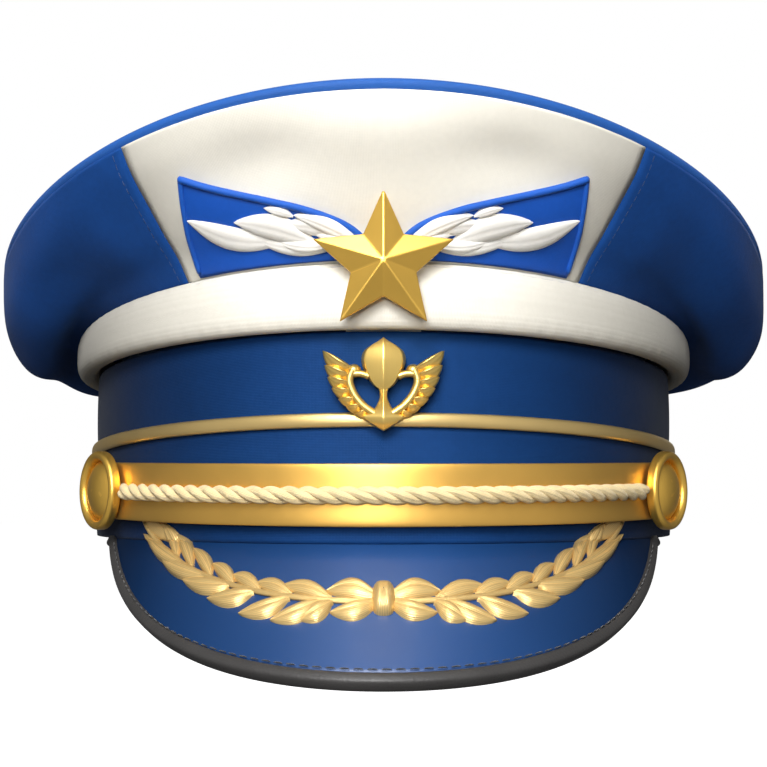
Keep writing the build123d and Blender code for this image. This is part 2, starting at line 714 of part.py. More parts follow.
# Winged spearhead badge ------------------------------------------------------------------------
badge_plane = Plane((0, badge_back_y, badge_z), x_dir=(1, 0, 0), z_dir=(0, -1, 0))
feathers = 6
with BuildPart() as wing_badge:
    with BuildSketch(badge_plane):
        with BuildLine():
            Polyline(
                (0, -11.2), (5.2, -7.4), (1.4, -3.6), (0.9, 1),
                (-0.9, 1), (-1.4, -3.6), (-5.2, -7.4), (0, -11.2)
            )
        make_face()
        for sign in (-1, 1):
            for i in range(feathers):
                root = (sign * (8.6 - 0.95 * i), 2.4 - 2.0 * i)
                reach = 8.6 - 0.95 * i
                turn = radians(38 - 3 * i)
                add(leaf(root, (root[0] + sign * reach * cos(turn), root[1] + reach * sin(turn)), 2.6))
            with BuildLine():
                ThreePointArc((sign * 3.2, 3.4), (sign * 7.2, 3.0), (sign * 8.6, 1.8))
                ThreePointArc((sign * 8.6, 1.8), (sign * 7.0, -4.4), (sign * 2.2, -8.0))
                Line((sign * 2.2, -8.0), (sign * 1.8, -6.6))
                ThreePointArc((sign * 1.8, -6.6), (sign * 5.8, -3.6), (sign * 7.2, 1.2))
                ThreePointArc((sign * 7.2, 1.2), (sign * 6.0, 1.9), (sign * 3.2, 2.0))
                Line((sign * 3.2, 2.0), (sign * 3.2, 3.4))
            make_face()
    extrude(amount=badge_wall)
wing_badge.part.label = "wing_badge"
export_step(wing_badge.part, "parts/wing_badge.step")

blade_relief = 1.9
with BuildPart() as badge_blade:
    with BuildSketch(badge_plane.offset(badge_wall + 0.02)) as blade_face:
        with BuildLine():
            Line((0, -2.2), (3.6, 1.6))
            ThreePointArc((3.6, 1.6), (5.0, 5.4), (3.0, 8.2))
            Line((3.0, 8.2), (0, 10.5))
            Line((0, 10.5), (-3.0, 8.2))
            ThreePointArc((-3.0, 8.2), (-5.0, 5.4), (-3.6, 1.6))
            Line((-3.6, 1.6), (0, -2.2))
        make_face()
    blade_tip = Vertex(0, badge_back_y - badge_wall - blade_relief, badge_z + 4.6)
    loft(sections=[blade_face.sketch.faces()[0], blade_tip])
badge_blade.part.label = "badge_blade"
export_step(badge_blade.part, "parts/badge_blade.step")

badge_nut_y = -(head_half_length + stiffener_inset - 0.75)
badge_nut_height = 1.4
with BuildPart() as badge_posts:
    with BuildSketch(badge_plane):
        with Locations(*[(x, badge_posts_z - badge_z) for x in badge_posts_x]):
            Circle(post_radius)
    extrude(amount=badge_back_y - badge_nut_y - badge_nut_height)
badge_posts.part.label = "badge_posts"
export_step(badge_posts.part, "parts/badge_posts.step")

with BuildPart() as badge_nuts:
    with BuildSketch(Plane((0, badge_nut_y, badge_posts_z), x_dir=(1, 0, 0), z_dir=(0, -1, 0))):
        with Locations(*[(x, 0) for x in badge_posts_x]):
            RegularPolygon(nut_radius, 6)
            Circle(post_radius, mode=Mode.SUBTRACT)
    extrude(amount=-badge_nut_height)
badge_nuts.part.label = "badge_nuts"
export_step(badge_nuts.part, "parts/badge_nuts.step")
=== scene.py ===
from math import cos, hypot, pi, radians, sin

import bpy
import numpy as np
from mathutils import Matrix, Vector


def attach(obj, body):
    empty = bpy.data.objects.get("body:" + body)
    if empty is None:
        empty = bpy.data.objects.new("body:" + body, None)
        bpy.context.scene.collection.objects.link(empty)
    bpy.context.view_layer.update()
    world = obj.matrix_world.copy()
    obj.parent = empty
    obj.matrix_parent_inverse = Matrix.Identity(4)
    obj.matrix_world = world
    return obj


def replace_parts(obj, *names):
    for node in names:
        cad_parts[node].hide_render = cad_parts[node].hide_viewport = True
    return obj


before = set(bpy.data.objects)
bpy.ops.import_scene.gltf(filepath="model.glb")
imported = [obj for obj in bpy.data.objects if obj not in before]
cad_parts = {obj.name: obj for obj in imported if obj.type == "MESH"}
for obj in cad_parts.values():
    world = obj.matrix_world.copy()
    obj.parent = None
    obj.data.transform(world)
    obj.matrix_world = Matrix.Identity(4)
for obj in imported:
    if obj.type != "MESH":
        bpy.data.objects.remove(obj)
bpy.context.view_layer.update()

MM = 0.001

# Driving sizes of the cap, in millimetres
BAND = (85.1, 104.0)               # half axes of the band's outer face
SEAT, RIM = (86.4, 105.4), (112.7, 124.0)
RIM_FRONT, RIM_BACK, RIM_SWEEP = 105.0, 58.0, 2.2
FRONT_SEAM, BACK_SEAM = 34.0, 118.0
VISOR_SLOPE, VISOR_TOP = radians(52), -0.3
VISOR_X, VISOR_DROP = 75.0, 28.4
BUTTON_AZIMUTH, BUTTON_TURN, BUTTON_Z = 55.4, 1.23, 12.7
STAR_Y, STAR_Z, STAR_R = -113.4, 65.2, 17.2
STAR_WAIST, STAR_EDGE, STAR_PEAK = 0.465, 0.9, 4.5
BADGE_Y, BADGE_Z = -106.4, 37.6
STRAP_IN, STRAP_OUT, STRAP_HALF_HEIGHT, STRAP_END_RADIUS = 1.5, 3.2, 7.4, 7.5
CORD, CORD_END, CORD_PITCH, STRANDS = (89.65, 108.55), 48.6, 14.0, 3
SWEAT = (81.1, 100.0)


def through(front, side, back, half_length):
    """Height as a smooth function of Y, given at the front, the sides and the back."""
    slope, bow = (back - front) / 2, (front + back) / 2 - side
    return lambda y: side + slope * (y / half_length) + bow * (y / half_length) ** 2


band_top = through(50.2, 44.2, 42.0, 104)
piping_line = through(29.2, 22.4, 17.0, 105)
roll_top = through(66.4, 54.4, 52.5, 110)


def rim_line(y):
    """Height of the rim: high in front, low behind."""
    share = np.maximum(0.0, (1 - np.asarray(y, float) / RIM[1]) / 2)
    return RIM_BACK + (RIM_FRONT - RIM_BACK) * share**RIM_SWEEP


def strap_mid(y):
    """Height of the chin strap's middle line."""
    return 11.4 + 0.028 * (y + 107)


def smooth(t):
    """Soft step from 0 to 1."""
    t = np.clip(t, 0.0, 1.0)
    return t * t * (3 - 2 * t)


def bump(t, centre, width):
    """Soft hill of height 1 round a centre."""
    return np.exp(-(((t - centre) / width) ** 2))


def unit(vectors):
    """Vectors of length 1 with the same directions."""
    return vectors / np.maximum(np.linalg.norm(vectors, axis=-1, keepdims=True), 1e-9)


def lengths(path):
    """Distance along a path to each of its points."""
    return np.concatenate([[0], np.cumsum(np.linalg.norm(np.diff(path, axis=0), axis=1))])


def round_grid(rows, columns):
    """Shares from 0 to 1 down the rows, and angles once round the columns."""
    return np.linspace(0, 1, rows)[:, None], (np.arange(columns) * 2 * pi / columns)[None]


# Mesh helpers


def make_object(name, verts, faces, material, body, uvs=None, smooth_shade=True):
    mesh = bpy.data.meshes.new(name)
    mesh.from_pydata([tuple(v) for v in np.asarray(verts, float) * MM], [], [tuple(f) for f in faces])
    mesh.validate()
    if uvs is not None:
        layer = mesh.uv_layers.new(name="UVMap")
        loops = np.zeros(len(mesh.loops), int)
        mesh.loops.foreach_get("vertex_index", loops)
        layer.data.foreach_set("uv", np.asarray(uvs, float)[loops].ravel())
    mesh.polygons.foreach_set("use_smooth", [smooth_shade] * len(mesh.polygons))
    mesh.materials.append(material)
    obj = bpy.data.objects.new(name, mesh)
    bpy.context.scene.collection.objects.link(obj)
    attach(obj, body)
    return obj


def grid_faces(rows, cols, wrap_rows=False, wrap_cols=False, start=0):
    faces = []
    for i in range(rows if wrap_rows else rows - 1):
        for j in range(cols if wrap_cols else cols - 1):
            a, b = i * cols + j, i * cols + (j + 1) % cols
            c, d = ((i + 1) % rows) * cols + (j + 1) % cols, ((i + 1) % rows) * cols + j
            faces.append((start + a, start + b, start + c, start + d))
    return faces


def grid_uv(points):
    """Arc lengths in centimetres along both directions of a grid."""
    along = np.linalg.norm(np.diff(points, axis=0), axis=2).mean(axis=1)
    across = np.linalg.norm(np.diff(points, axis=1), axis=2).mean(axis=0)
    v = np.concatenate([[0], np.cumsum(along)]) / 10
    u = np.concatenate([[0], np.cumsum(across)]) / 10
    return np.stack(np.meshgrid(u, v), axis=2).reshape(-1, 2)


def skin(name, points, material, body, slot, wrap=(False, False), thickness=0.0, flip=False):
    """Grid of points as one smooth sheet, thickened inwards."""
    rows, cols = points.shape[:2]
    faces = grid_faces(rows, cols, *wrap)
    if flip:
        faces = [f[::-1] for f in faces]
    obj = make_object(name, points.reshape(-1, 3), faces, material, body, grid_uv(points))
    if thickness:
        solid = obj.modifiers.new("thickness", "SOLIDIFY")
        solid.thickness = thickness * MM
        solid.offset = -1
        solid.use_even_offset = False
    return obj


def cut_cloth(points, closed=False):
    """Works out a stretched cloth piece's flat cut, measured along the grid it was built from; the result is
    not kept.
    """
    grid = np.concatenate([points, points[:, :1]], 1) if closed else points
    across, along = np.diff(grid, axis=1), np.diff(grid, axis=0)
    width = np.linalg.norm(across, axis=2).sum(1).max() * MM
    length = np.linalg.norm(along, axis=2).sum(0).max() * MM
    area = np.linalg.norm(np.cross(across[:-1], along[:, :-1]), axis=2).sum() * MM**2
    area = min(area, width * length)


def sweep_rings(name, rings, material, body, closed=False):
    """Closed loops of points joined into a tube, with flat ends unless it is closed."""
    rings = np.asarray(rings, float)
    count, sides = rings.shape[:2]
    faces = grid_faces(count, sides, closed, True)
    length = lengths(rings.mean(1)) / 10
    around = np.arange(sides) / sides
    uv = np.stack(np.meshgrid(around, length), axis=2).reshape(-1, 2)
    if not closed:
        last = (count - 1) * sides
        faces += [tuple(range(sides))[::-1], tuple(range(last, last + sides))]
    return make_object(name, rings.reshape(-1, 3), faces, material, body, uv)


def path_frames(path, up, closed=False):
    """Tangent, side and up vectors along a path, square to each other."""
    if closed:
        tangent = np.roll(path, -1, 0) - np.roll(path, 1, 0)
    else:
        tangent = np.gradient(path, axis=0)
    tangent = unit(tangent)
    side = unit(np.cross(tangent, np.broadcast_to(np.asarray(up, float), path.shape)))
    return tangent, side, np.cross(side, tangent)


def tube(name, path, section, up, material, body, closed=False):
    """Section points (side, up) carried along a path."""
    _, side, upward = path_frames(path, up, closed)
    section = np.asarray(section, float)
    if section.ndim == 2:
        section = np.broadcast_to(section, (len(path), *section.shape))
    rings = path[:, None] + section[:, :, :1] * side[:, None] + section[:, :, 1:] * upward[:, None]
    return sweep_rings(name, rings, material, body, closed)


def ellipse_section(width, height, sides=16, power=2.0):
    """Closed outline with half axes width and height, squarer with a higher power."""
    a = np.arange(sides) * 2 * pi / sides
    c, s = np.cos(a), np.sin(a)
    x = width * np.sign(c) * np.abs(c) ** (2 / power)
    return np.stack([x, height * np.sign(s) * np.abs(s) ** (2 / power)], 1)


def joined(pieces, name):
    """Several pieces of one material and body as one object."""
    for obj in bpy.context.selected_objects:
        obj.select_set(False)
    for piece in pieces:
        piece.select_set(True)
    bpy.context.view_layer.objects.active = pieces[0]
    bpy.ops.object.join()
    pieces[0].name = name
    return pieces[0]


# Materials


class Shader:
    """Small helper round one material's node tree."""

    def __init__(self, name, color, roughness, **fixed):
        self.material = bpy.data.materials.new(name)
        self.material.use_nodes = True
        self.tree = self.material.node_tree
        self.bsdf = self.tree.nodes["Principled BSDF"]
        self.bsdf.inputs["Base Color"].default_value = (*color, 1)
        self.bsdf.inputs["Roughness"].default_value = roughness
        for socket, value in fixed.items():
            self.bsdf.inputs[socket.replace("_", " ")].default_value = value
        self.color = color
        self.height = None

    def node(self, kind, **values):
        node = self.tree.nodes.new(kind)
        for key, value in values.items():
            if key in node.inputs.keys():
                node.inputs[key].default_value = value
            elif hasattr(node, key):
                setattr(node, key, value)
        return node

    def link(self, a, b):
        self.tree.links.new(a, b)

    def coords(self, kind="Object", scale=(1, 1, 1)):
        place = self.node("ShaderNodeTexCoord")
        mapping = self.node("ShaderNodeMapping")
        mapping.inputs["Scale"].default_value = scale
        self.link(place.outputs[kind], mapping.inputs["Vector"])
        return mapping.outputs["Vector"]

    def noise(self, scale, detail=3.0):
        node = self.node("ShaderNodeTexNoise", Scale=scale, Detail=detail)
        self.link(self.coords(), node.inputs["Vector"])
        return node.outputs["Fac"]

    def wave(self, scale, direction, distortion):
        node = self.node("ShaderNodeTexWave", Scale=scale, Distortion=distortion)
        node.bands_direction = direction
        self.link(self.coords("UV"), node.inputs["Vector"])
        return node.outputs["Fac"]

    def span(self, value, low, high, from_low=0.0, from_high=1.0):
        """Value carried from one range to another."""
        node = self.node("ShaderNodeMapRange")
        node.inputs["From Min"].default_value = from_low
        node.inputs["From Max"].default_value = from_high
        node.inputs["To Min"].default_value = low
        node.inputs["To Max"].default_value = high
        self.link(value, node.inputs["Value"])
        return node.outputs["Result"]

    def math(self, operation, a, b):
        node = self.node("ShaderNodeMath")
        node.operation = operation
        for socket, value in ((node.inputs[0], a), (node.inputs[1], b)):
            if isinstance(value, (int, float)):
                socket.default_value = value
            else:
                self.link(value, socket)
        return node.outputs[0]

    def tint(self, value, dark, light, low=0.3, high=0.7, fade=None):
        """Base colour from dark to light shades with a value; a given fade paints shade on it, darker toward
        the cap's sides.
        """
        node = self.node("ShaderNodeValToRGB")
        node.color_ramp.elements[0].position = low
        node.color_ramp.elements[1].position = high
        node.color_ramp.elements[0].color = (*(np.array(self.color) * dark), 1)
        node.color_ramp.elements[1].color = (*np.minimum(1, np.array(self.color) * light), 1)
        self.link(value, node.inputs["Fac"])
        shade = node.outputs["Color"]
        # Painted shade: the colour is scaled down toward the cap's sides, standing in for light falling off
        # there.
        if fade:
            scale = self.node("ShaderNodeVectorMath", operation="SCALE")
            self.link(shade, scale.inputs[0])
            self.link(self.sideways(1, *fade), scale.inputs["Scale"])
            shade = scale.outputs["Vector"]
        self.link(shade, self.bsdf.inputs["Base Color"])

    def sideways(self, middle, side, start, stop):
        """Value that runs from the middle of the cap to its sides between two distances in metres."""
        axes = self.node("ShaderNodeSeparateXYZ")
        self.link(self.coords(), axes.inputs["Vector"])
        return self.span(self.math("ABSOLUTE", axes.outputs["X"], 0), middle, side, start, stop)

    def rough(self, value, low, high):
        self.link(self.span(value, low, high), self.bsdf.inputs["Roughness"])

    def relief(self, value, strength, distance):
        """Adds one layer of bump, the distance in millimetres."""
        node = self.node("ShaderNodeBump", Strength=strength, Distance=distance * MM)
        self.link(value, node.inputs["Height"])
        if self.height is not None:
            self.link(self.height, node.inputs["Normal"])
        self.height = node.outputs["Normal"]
        self.link(self.height, self.bsdf.inputs["Normal"])


def cloth(name, color, thread=0.55, roughness=0.85, mottle=(0.9, 1.06), fuzz=0.4, shine=0.12, fade=None):
    """Woven cloth: crossing threads of a given pitch in millimetres, mottled dye, a soft nap, and painted
    shade toward the cap's sides when a fade is given.
    """
    s = Shader(name, color, roughness, Sheen_Weight=0.04, Sheen_Roughness=0.45, Specular_IOR_Level=shine)
    waves = 5 / thread
    s.relief(s.math("MAXIMUM", s.wave(waves, "X", 0.4), s.wave(waves, "Y", 0.4)), 0.35, 0.12)
    s.relief(s.noise(900, 3), fuzz, 0.12)
    s.relief(s.noise(60, 3), 0.25, 0.5)
    dye = s.math("ADD", s.math("MULTIPLY", s.noise(45, 4), 0.65), s.math("MULTIPLY", s.noise(700, 2), 0.35))
    s.tint(dye, *mottle, fade=fade)
    return s.material


def metal(name, color, low, high, grain=420):
    """Lacquered metal: fine casting grain, worn sheen, painted shade in the hollows and a painted highlight
    on ridges.
    """
    s = Shader(name, color, 0.28, Metallic=0.88)
    s.rough(s.noise(180, 4), low, high)
    s.relief(s.noise(grain, 3), 0.12, 0.12)
    s.relief(s.noise(110, 2), 0.15, 0.35)
    # Painted shade and highlight: colour darker where pointiness is low (hollows) and lighter where it is
    # high (ridges).
    hollow_shade = s.node("ShaderNodeNewGeometry").outputs["Pointiness"]
    s.tint(s.math("ADD", hollow_shade, s.span(s.noise(55, 3), -0.03, 0.03)), 0.72, 1.08, 0.44, 0.54)
    return s.material


def patent(name, color):
    """Glossy coated leather: faint orange peel, fine scuffs, and painted shade that darkens the colour toward
    the cap's sides, where the coat and specular are also turned down.
    """
    s = Shader(name, color, 0.3, Coat_Weight=0.2, Coat_Roughness=0.3, Specular_IOR_Level=0.38)
    s.rough(s.noise(30, 5), 0.36, 0.47)
    s.relief(s.noise(260, 3), 0.06, 0.2)
    s.relief(s.noise(25, 2), 0.12, 0.8)
    # Painted shade: base colour darker toward the cap's sides.
    s.tint(s.noise(14, 3), 1.25, 1.55, fade=(0.18, 0.008, 0.068))
    s.link(s.sideways(0.32, 0.02, 0.006, 0.06), s.bsdf.inputs["Coat Weight"])
    s.link(s.sideways(0.55, 0.05, 0.006, 0.06), s.bsdf.inputs["Specular IOR Level"])
    return s.material


def hide(name, color, roughness=0.5, grain=0.9):
    """Grained leather: small pebbles, creases and uneven dye."""
    s = Shader(name, color, roughness, Specular_IOR_Level=0.4)
    cells = s.node("ShaderNodeTexVoronoi", Scale=1000 / grain)
    s.link(s.coords(), cells.inputs["Vector"])
    s.relief(cells.outputs["Distance"], 0.3, 0.15)
    s.relief(s.noise(140, 4), 0.3, 0.3)
    s.rough(s.noise(70, 3), roughness - 0.1, roughness + 0.12)
    s.tint(s.noise(40, 4), 0.75, 1.15)
    return s.material


def braid(name, color):
    """Gold bullion work: fine threads laid side by side along each leaf."""
    s = Shader(name, color, 0.34, Metallic=0.55)
    threads = s.wave(9.0, "X", 0.8)
    s.relief(threads, 0.35, 0.15)
    s.relief(s.noise(500, 2), 0.2, 0.1)
    s.rough(s.noise(160, 3), 0.28, 0.44)
    # Painted shade: colour darker in the hollows and lighter on ridges.
    hollow_shade = s.node("ShaderNodeNewGeometry").outputs["Pointiness"]
    s.tint(s.math("ADD", hollow_shade, s.span(threads, -0.03, 0.03)), 0.6, 1.1, 0.42, 0.56)
    return s.material


def yarn(name, color, roughness=0.85):
    """Twisted cotton: fibres that run along each strand."""
    s = Shader(name, color, roughness, Sheen_Weight=0.3, Specular_IOR_Level=0.2)
    node = s.node("ShaderNodeTexWave", Scale=7.0, Distortion=1.5, Detail=3)
    s.link(s.coords("UV", (1.0, 2.4, 1)), node.inputs["Vector"])
    s.relief(node.outputs["Fac"], 0.6, 0.15)
    s.relief(s.noise(1200, 2), 0.4, 0.08)
    s.tint(s.math("MULTIPLY", node.outputs["Fac"], s.noise(250, 3)), 0.72, 1.12, 0.1, 0.5)
    return s.material


# The cream cloth of the roll and front panel carries painted shade, darker toward the cap's sides.
cream = cloth("cream_wool", (0.85, 0.81, 0.71), mottle=(0.97, 1.04), fuzz=0.25, fade=(0.58, 0.025, 0.08))
navy = cloth("navy_wool", (0.0065, 0.055, 0.235), mottle=(0.86, 1.12))
# The band cloth carries painted shade, darker toward the cap's sides.
band_look_with_painted_shade = dict(roughness=0.6, mottle=(0.88, 1.1), shine=0.08, fade=(0.22, 0.015, 0.075))
band_blue = cloth("band_wool", (0.0055, 0.042, 0.160), **band_look_with_painted_shade)
cobalt = cloth("cobalt_satin", (0.006, 0.082, 0.45), thread=0.35, roughness=0.5, fuzz=0.15, shine=0.3)
rim_blue = cloth("rim_cord", (0.016, 0.095, 0.36), thread=0.45, roughness=0.6, shine=0.25)
flash_cord = cloth("flash_cord", (0.010, 0.10, 0.50), thread=0.35, roughness=0.5, shine=0.3)
leaf_white = cloth("leaf_silk", (0.90, 0.87, 0.81), thread=0.4, roughness=0.6, mottle=(0.93, 1.03), fuzz=0.15)
gold = metal("polished_gold", (0.87, 0.53, 0.10), 0.30, 0.40)
strap_gold = metal("strap_gold", (0.79, 0.465, 0.105), 0.34, 0.46, grain=300)
badge_gold = metal("badge_gold", (0.94, 0.65, 0.19), 0.3, 0.4)
piping_gold = metal("piping_gold", (0.86, 0.62, 0.25), 0.34, 0.44)
laurel_gold = braid("laurel_gold", (0.88, 0.61, 0.24))
visor_blue = patent("visor_patent", (0.0065, 0.040, 0.140))
binding_black = hide("binding_leather", (0.04, 0.038, 0.037), 0.45, 0.7)
underlay_black = hide("underlay_leather", (0.03, 0.03, 0.036), 0.55)
sweat_brown = hide("sweatband_leather", (0.26, 0.13, 0.06), 0.48)
lining_blue = cloth("lining_satin", (0.04, 0.065, 0.15), thread=0.3, roughness=0.45, fuzz=0.1, shine=0.3)
cord_cream = yarn("cotton_cord", (0.90, 0.71, 0.38))

# Crown
# How far out and up the side's section runs, from the roll to the rim
FRONT_SECTION = np.array([(0, 0), (0.16, 0.19), (0.37, 0.37), (0.60, 0.58), (0.84, 0.80), (1, 1)])
SIDE_SECTION = np.array([(0, 0), (0.29, -0.1), (0.5, -7.0), (0.75, -6.0), (0.955, 1.5), (1, 0)])


def spline(values, t):
    """Smooth curve through evenly spaced values, for t from 0 to 1."""
    n = len(values) - 1
    x = np.clip(t, 0, 1) * n
    i = np.clip(np.floor(x).astype(int), 0, n - 1)
    f = x - i
    padded = [2 * values[0] - values[1], *values, 2 * values[-1] - values[-2]]
    p = [np.choose(i, [padded[k + m] for k in range(n)]) for m in range(4)]
    return 0.5 * (
        2 * p[1] + (p[2] - p[0]) * f + (2 * p[0] - 5 * p[1] + 4 * p[2] - p[3]) * f**2
        + (3 * p[1] - p[0] - 3 * p[2] + p[3]) * f**3
    )


def crown_base(azimuth, t):
    """Taut outer face of the crown's side: azimuth in degrees, t from the roll (0) to the rim (1)."""
    azimuth, t = np.broadcast_arrays(np.asarray(azimuth, float), np.asarray(t, float))
    a = np.radians(azimuth)
    c, s = np.cos(a), np.sin(a)
    base = roll_top(-SEAT[1] * c) + 0.7
    top = rim_line(-RIM[1] * c) - 1.9
    frontness = smooth((c - 0.1) / 0.7)
    out, height = [], []
    for (front_out, front_up), (side_out, side_up) in zip(FRONT_SECTION, SIDE_SECTION):
        front_z = base + front_up * (top - base)
        side_z = top if side_out == 1 else base + side_up
        out.append(frontness * front_out + (1 - frontness) * side_out)
        height.append(frontness * front_z + (1 - frontness) * side_z)
    reach, z = spline(out, t), spline(height, t)
    return np.stack(
        [(SEAT[0] + (RIM[0] - SEAT[0]) * reach) * s, -(SEAT[1] + (RIM[1] - SEAT[1]) * reach) * c, z], -1
    )


def crown_puff(azimuth, t):
    """How far the cloth stands off the taut face: pulled in at seams, soft folds between them."""
    azimuth = (np.asarray(azimuth, float) + 180) % 360 - 180
    a = np.abs(azimuth)
    seams = sum(bump(a, seam, 1.1) for seam in (FRONT_SEAM, BACK_SEAM)) + 0.5 * bump(a, 180, 1.1)
    puff = 0.9 * np.sin(np.pi * np.clip(t, 0, 1)) ** 0.6
    front = smooth((FRONT_SEAM - a) / 6)
    dents = -1.7 * bump(a, 16.5, 7.5) * bump(t, 0.68, 0.17) + 1.2 * bump(a, 0, 9) * bump(t, 0.80, 0.2)
    dents += 0.7 * bump(a, 26, 6) * bump(t, 0.55, 0.3) - 0.5 * bump(a, 0, 1.6) * bump(t, 0.86, 0.2)
    side = smooth((a - FRONT_SEAM) / 10)
    folds = 0.8 * np.sin(np.radians(azimuth) * 9 + 1.3) * bump(t, 0.45, 0.25)
    folds += 0.5 * np.sin(np.radians(azimuth) * 17 + 4 * t) * bump(t, 0.6, 0.3)
    return puff - 0.7 * seams * puff + front * dents + side * folds


def crown_face(azimuth, t, lift=0.0):
    """The cloth's outer face, moved out along its normal by a lift."""
    azimuth, t = np.broadcast_arrays(np.asarray(azimuth, float), np.asarray(t, float))
    d = 0.01
    p = crown_base(azimuth, t)
    du = crown_base(azimuth + 1, t) - crown_base(azimuth - 1, t)
    dv = crown_base(azimuth, np.minimum(t + d, 1)) - crown_base(azimuth, np.maximum(t - d, 0))
    return p + unit(np.cross(du, dv)) * (crown_puff(azimuth, t) + lift)[..., None]


def crown_panel(name, node, start, end, material, slot):
    azimuth = np.linspace(start, end, int(abs(end - start) / 1.1))
    t = np.linspace(0, 1, 56)
    points = crown_face(azimuth[None], t[:, None])
    panel = skin(name, points, material, "cap", slot, thickness=1.0)
    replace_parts(panel, node)
    cut_cloth(points)


crown_panel("front_panel_cloth", "crown_front_panel", -FRONT_SEAM, FRONT_SEAM, cream, "cream_cloth")
crown_panel("left_panel_cloth", "crown_left_panel", -BACK_SEAM, -FRONT_SEAM, navy, "blue_cloth")
crown_panel("right_panel_cloth", "crown_right_panel", FRONT_SEAM, BACK_SEAM, navy, "blue_cloth")
crown_panel("back_panel_cloth", "crown_back_panel", BACK_SEAM, 360 - BACK_SEAM, navy, "blue_cloth")


def oval(half_width, half_length, z, count=360):
    """Closed path round the cap, its height a function of Y."""
    a = np.arange(count) * 2 * pi / count
    x, y = half_width * np.sin(a), -half_length * np.cos(a)
    return np.stack([x, y, z(y) + 0 * x], 1)


rim_path = oval(RIM[0] - 1.5, RIM[1] - 1.5, rim_line)
section = ellipse_section(1.5, 1.6)
crown_piping = tube("rim_piping", rim_path, section, (0, 0, 1), rim_blue, "cap", True)
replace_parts(crown_piping, "crown_piping")

# Top panel: stretched over the hoop, sagging a little inside it
r, a = round_grid(40, 240)
x = (RIM[0] - 2.9) * r * np.sin(a)
y = -(RIM[1] - 2.9) * r * np.cos(a)
sag = -1.6 * (1 - r**2) ** 1.2 + 1.3 * bump(r, 0.93, 0.05)
sag = sag + 0.18 * np.sin(a * 23 + 3 * r) * smooth((r - 0.5) * 2) * (1 - r)
points = np.stack([x + 0 * sag, y + 0 * sag, rim_line(y) + 0.9 + sag], 2)
top_panel = skin("top_panel_cloth", points, navy, "cap", "blue_cloth", wrap=(False, True), thickness=1.0)
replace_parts(top_panel, "crown_top_panel")

# Roll: soft padded ring with fine puckers along its two seams
columns, around = 720, 40
a = np.arange(columns) * 2 * pi / columns
section = ellipse_section(1, 1, around, 2.7)
centre = oval(BAND[0] + 2.9, BAND[1] + 2.9, lambda y: (band_top(y) + roll_top(y)) / 2, columns)
half = (roll_top(centre[:, 1]) - band_top(centre[:, 1])) / 2 + 0.15
_, side, upward = path_frames(centre, (0, 0, 1), True)
pucker = 0.10 * np.sin(a * 97 + np.sin(a * 13) * 2) + 0.07 * np.sin(a * 211 + 1)
edge = np.abs(section[:, 1])[None] ** 3
bulge = (3.4 + 0.075 * np.sin(a * 7 + 1))[:, None]
depth = bulge * section[:, 0][None] * (1 + pucker[:, None] * edge * 0.5)
height = half[:, None] * section[:, 1][None]
outline = centre[:, None] + depth[:, :, None] * side[:, None] + height[:, :, None] * upward[:, None]
roll = sweep_rings("padded_roll", outline, cream, "cap", closed=True)
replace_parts(roll, "roll_cover")

# Band cloth: two slightly full zones above and below the piping
t, a = round_grid(60, 480)
c, s = np.cos(a), np.sin(a)
top = band_top(-BAND[1] * c)
split = piping_line(-BAND[1] * c) / top
zone = np.where(t < split, t / split, (t - split) / (1 - split))
full = 0.35 * np.sin(np.pi * zone) ** 0.7 - 0.15
points = np.stack([(BAND[0] + full) * s, -(BAND[1] + full) * c, t * top + 0 * full], 2)
band = skin("band_cloth_face", points, band_blue, "cap", "blue_cloth", wrap=(False, True), thickness=0.9)
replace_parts(band, "band_cloth")
cut_cloth(points, True)

piping_path = oval(BAND[0] + 0.75, BAND[1] + 0.75, piping_line, 480)
section = ellipse_section(0.95, 1.75, 20, 2.2)
piping = tube("band_piping_cord", piping_path, section, (0, 0, 1), piping_gold, "cap", True)
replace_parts(piping, "band_piping")

# Visor


def before_band(x, z, run):
    """Point seen at (x, z) from the front, a run forward of the band's face."""
    return np.stack([x, -BAND[1] * np.sqrt(np.maximum(1 - (x / BAND[0]) ** 2, 1e-4)) - run, z], -1)


def off_face(face, x, z, lift, step):
    """Point of a face seen at (x, z) from the front, moved out along its normal."""
    x, z = np.broadcast_arrays(np.asarray(x, float), np.asarray(z, float))
    n = unit(np.cross(face(x + step, z) - face(x - step, z), face(x, z + step) - face(x, z - step)))
    return face(x, z) + n * np.asarray(lift)[..., None]


def visor_point(x, z, lift=0.0):
    """The visor's outer face, moved out along its normal."""
    return off_face(lambda x, z: before_band(x, z, (VISOR_TOP - z) * np.tan(VISOR_SLOPE)), x, z, lift, 0.2)


def visor_edge(t, inset=0.0):
    """Outline of the visor from the front, t from -1 at the left end to 1 at the right end."""
    x_end, drop = VISOR_X - inset, VISOR_DROP - inset
    u = 1 - np.abs(t)
    b0, b1, b2, b3 = (1 - u) ** 3, 3 * (1 - u) ** 2 * u, 3 * (1 - u) * u**2, u**3
    x = b0 * x_end + b1 * 0.9 * x_end + b2 * 0.7 * x_end
    z = b0 * 2 - b1 * 0.585 * drop - b2 * drop - b3 * drop
    return np.sign(t) * x, z


def visor_sheet(name, lift, inset, material, slot, thickness):
    """Cloth or leather over the whole visor, its outline inset from the edge."""
    t = np.sin(np.linspace(-1, 1, 161) * pi / 2)
    x, low = visor_edge(t, inset)
    high = np.full_like(x, VISOR_TOP + 0.9)
    low = np.minimum(low, high - 0.95)
    share = np.linspace(0, 1, 40)[:, None]
    points = visor_point(x[None] + 0 * share, high[None] + (low - high)[None] * share, lift)
    return skin(name, points, material, "cap", slot, thickness=thickness, flip=True)


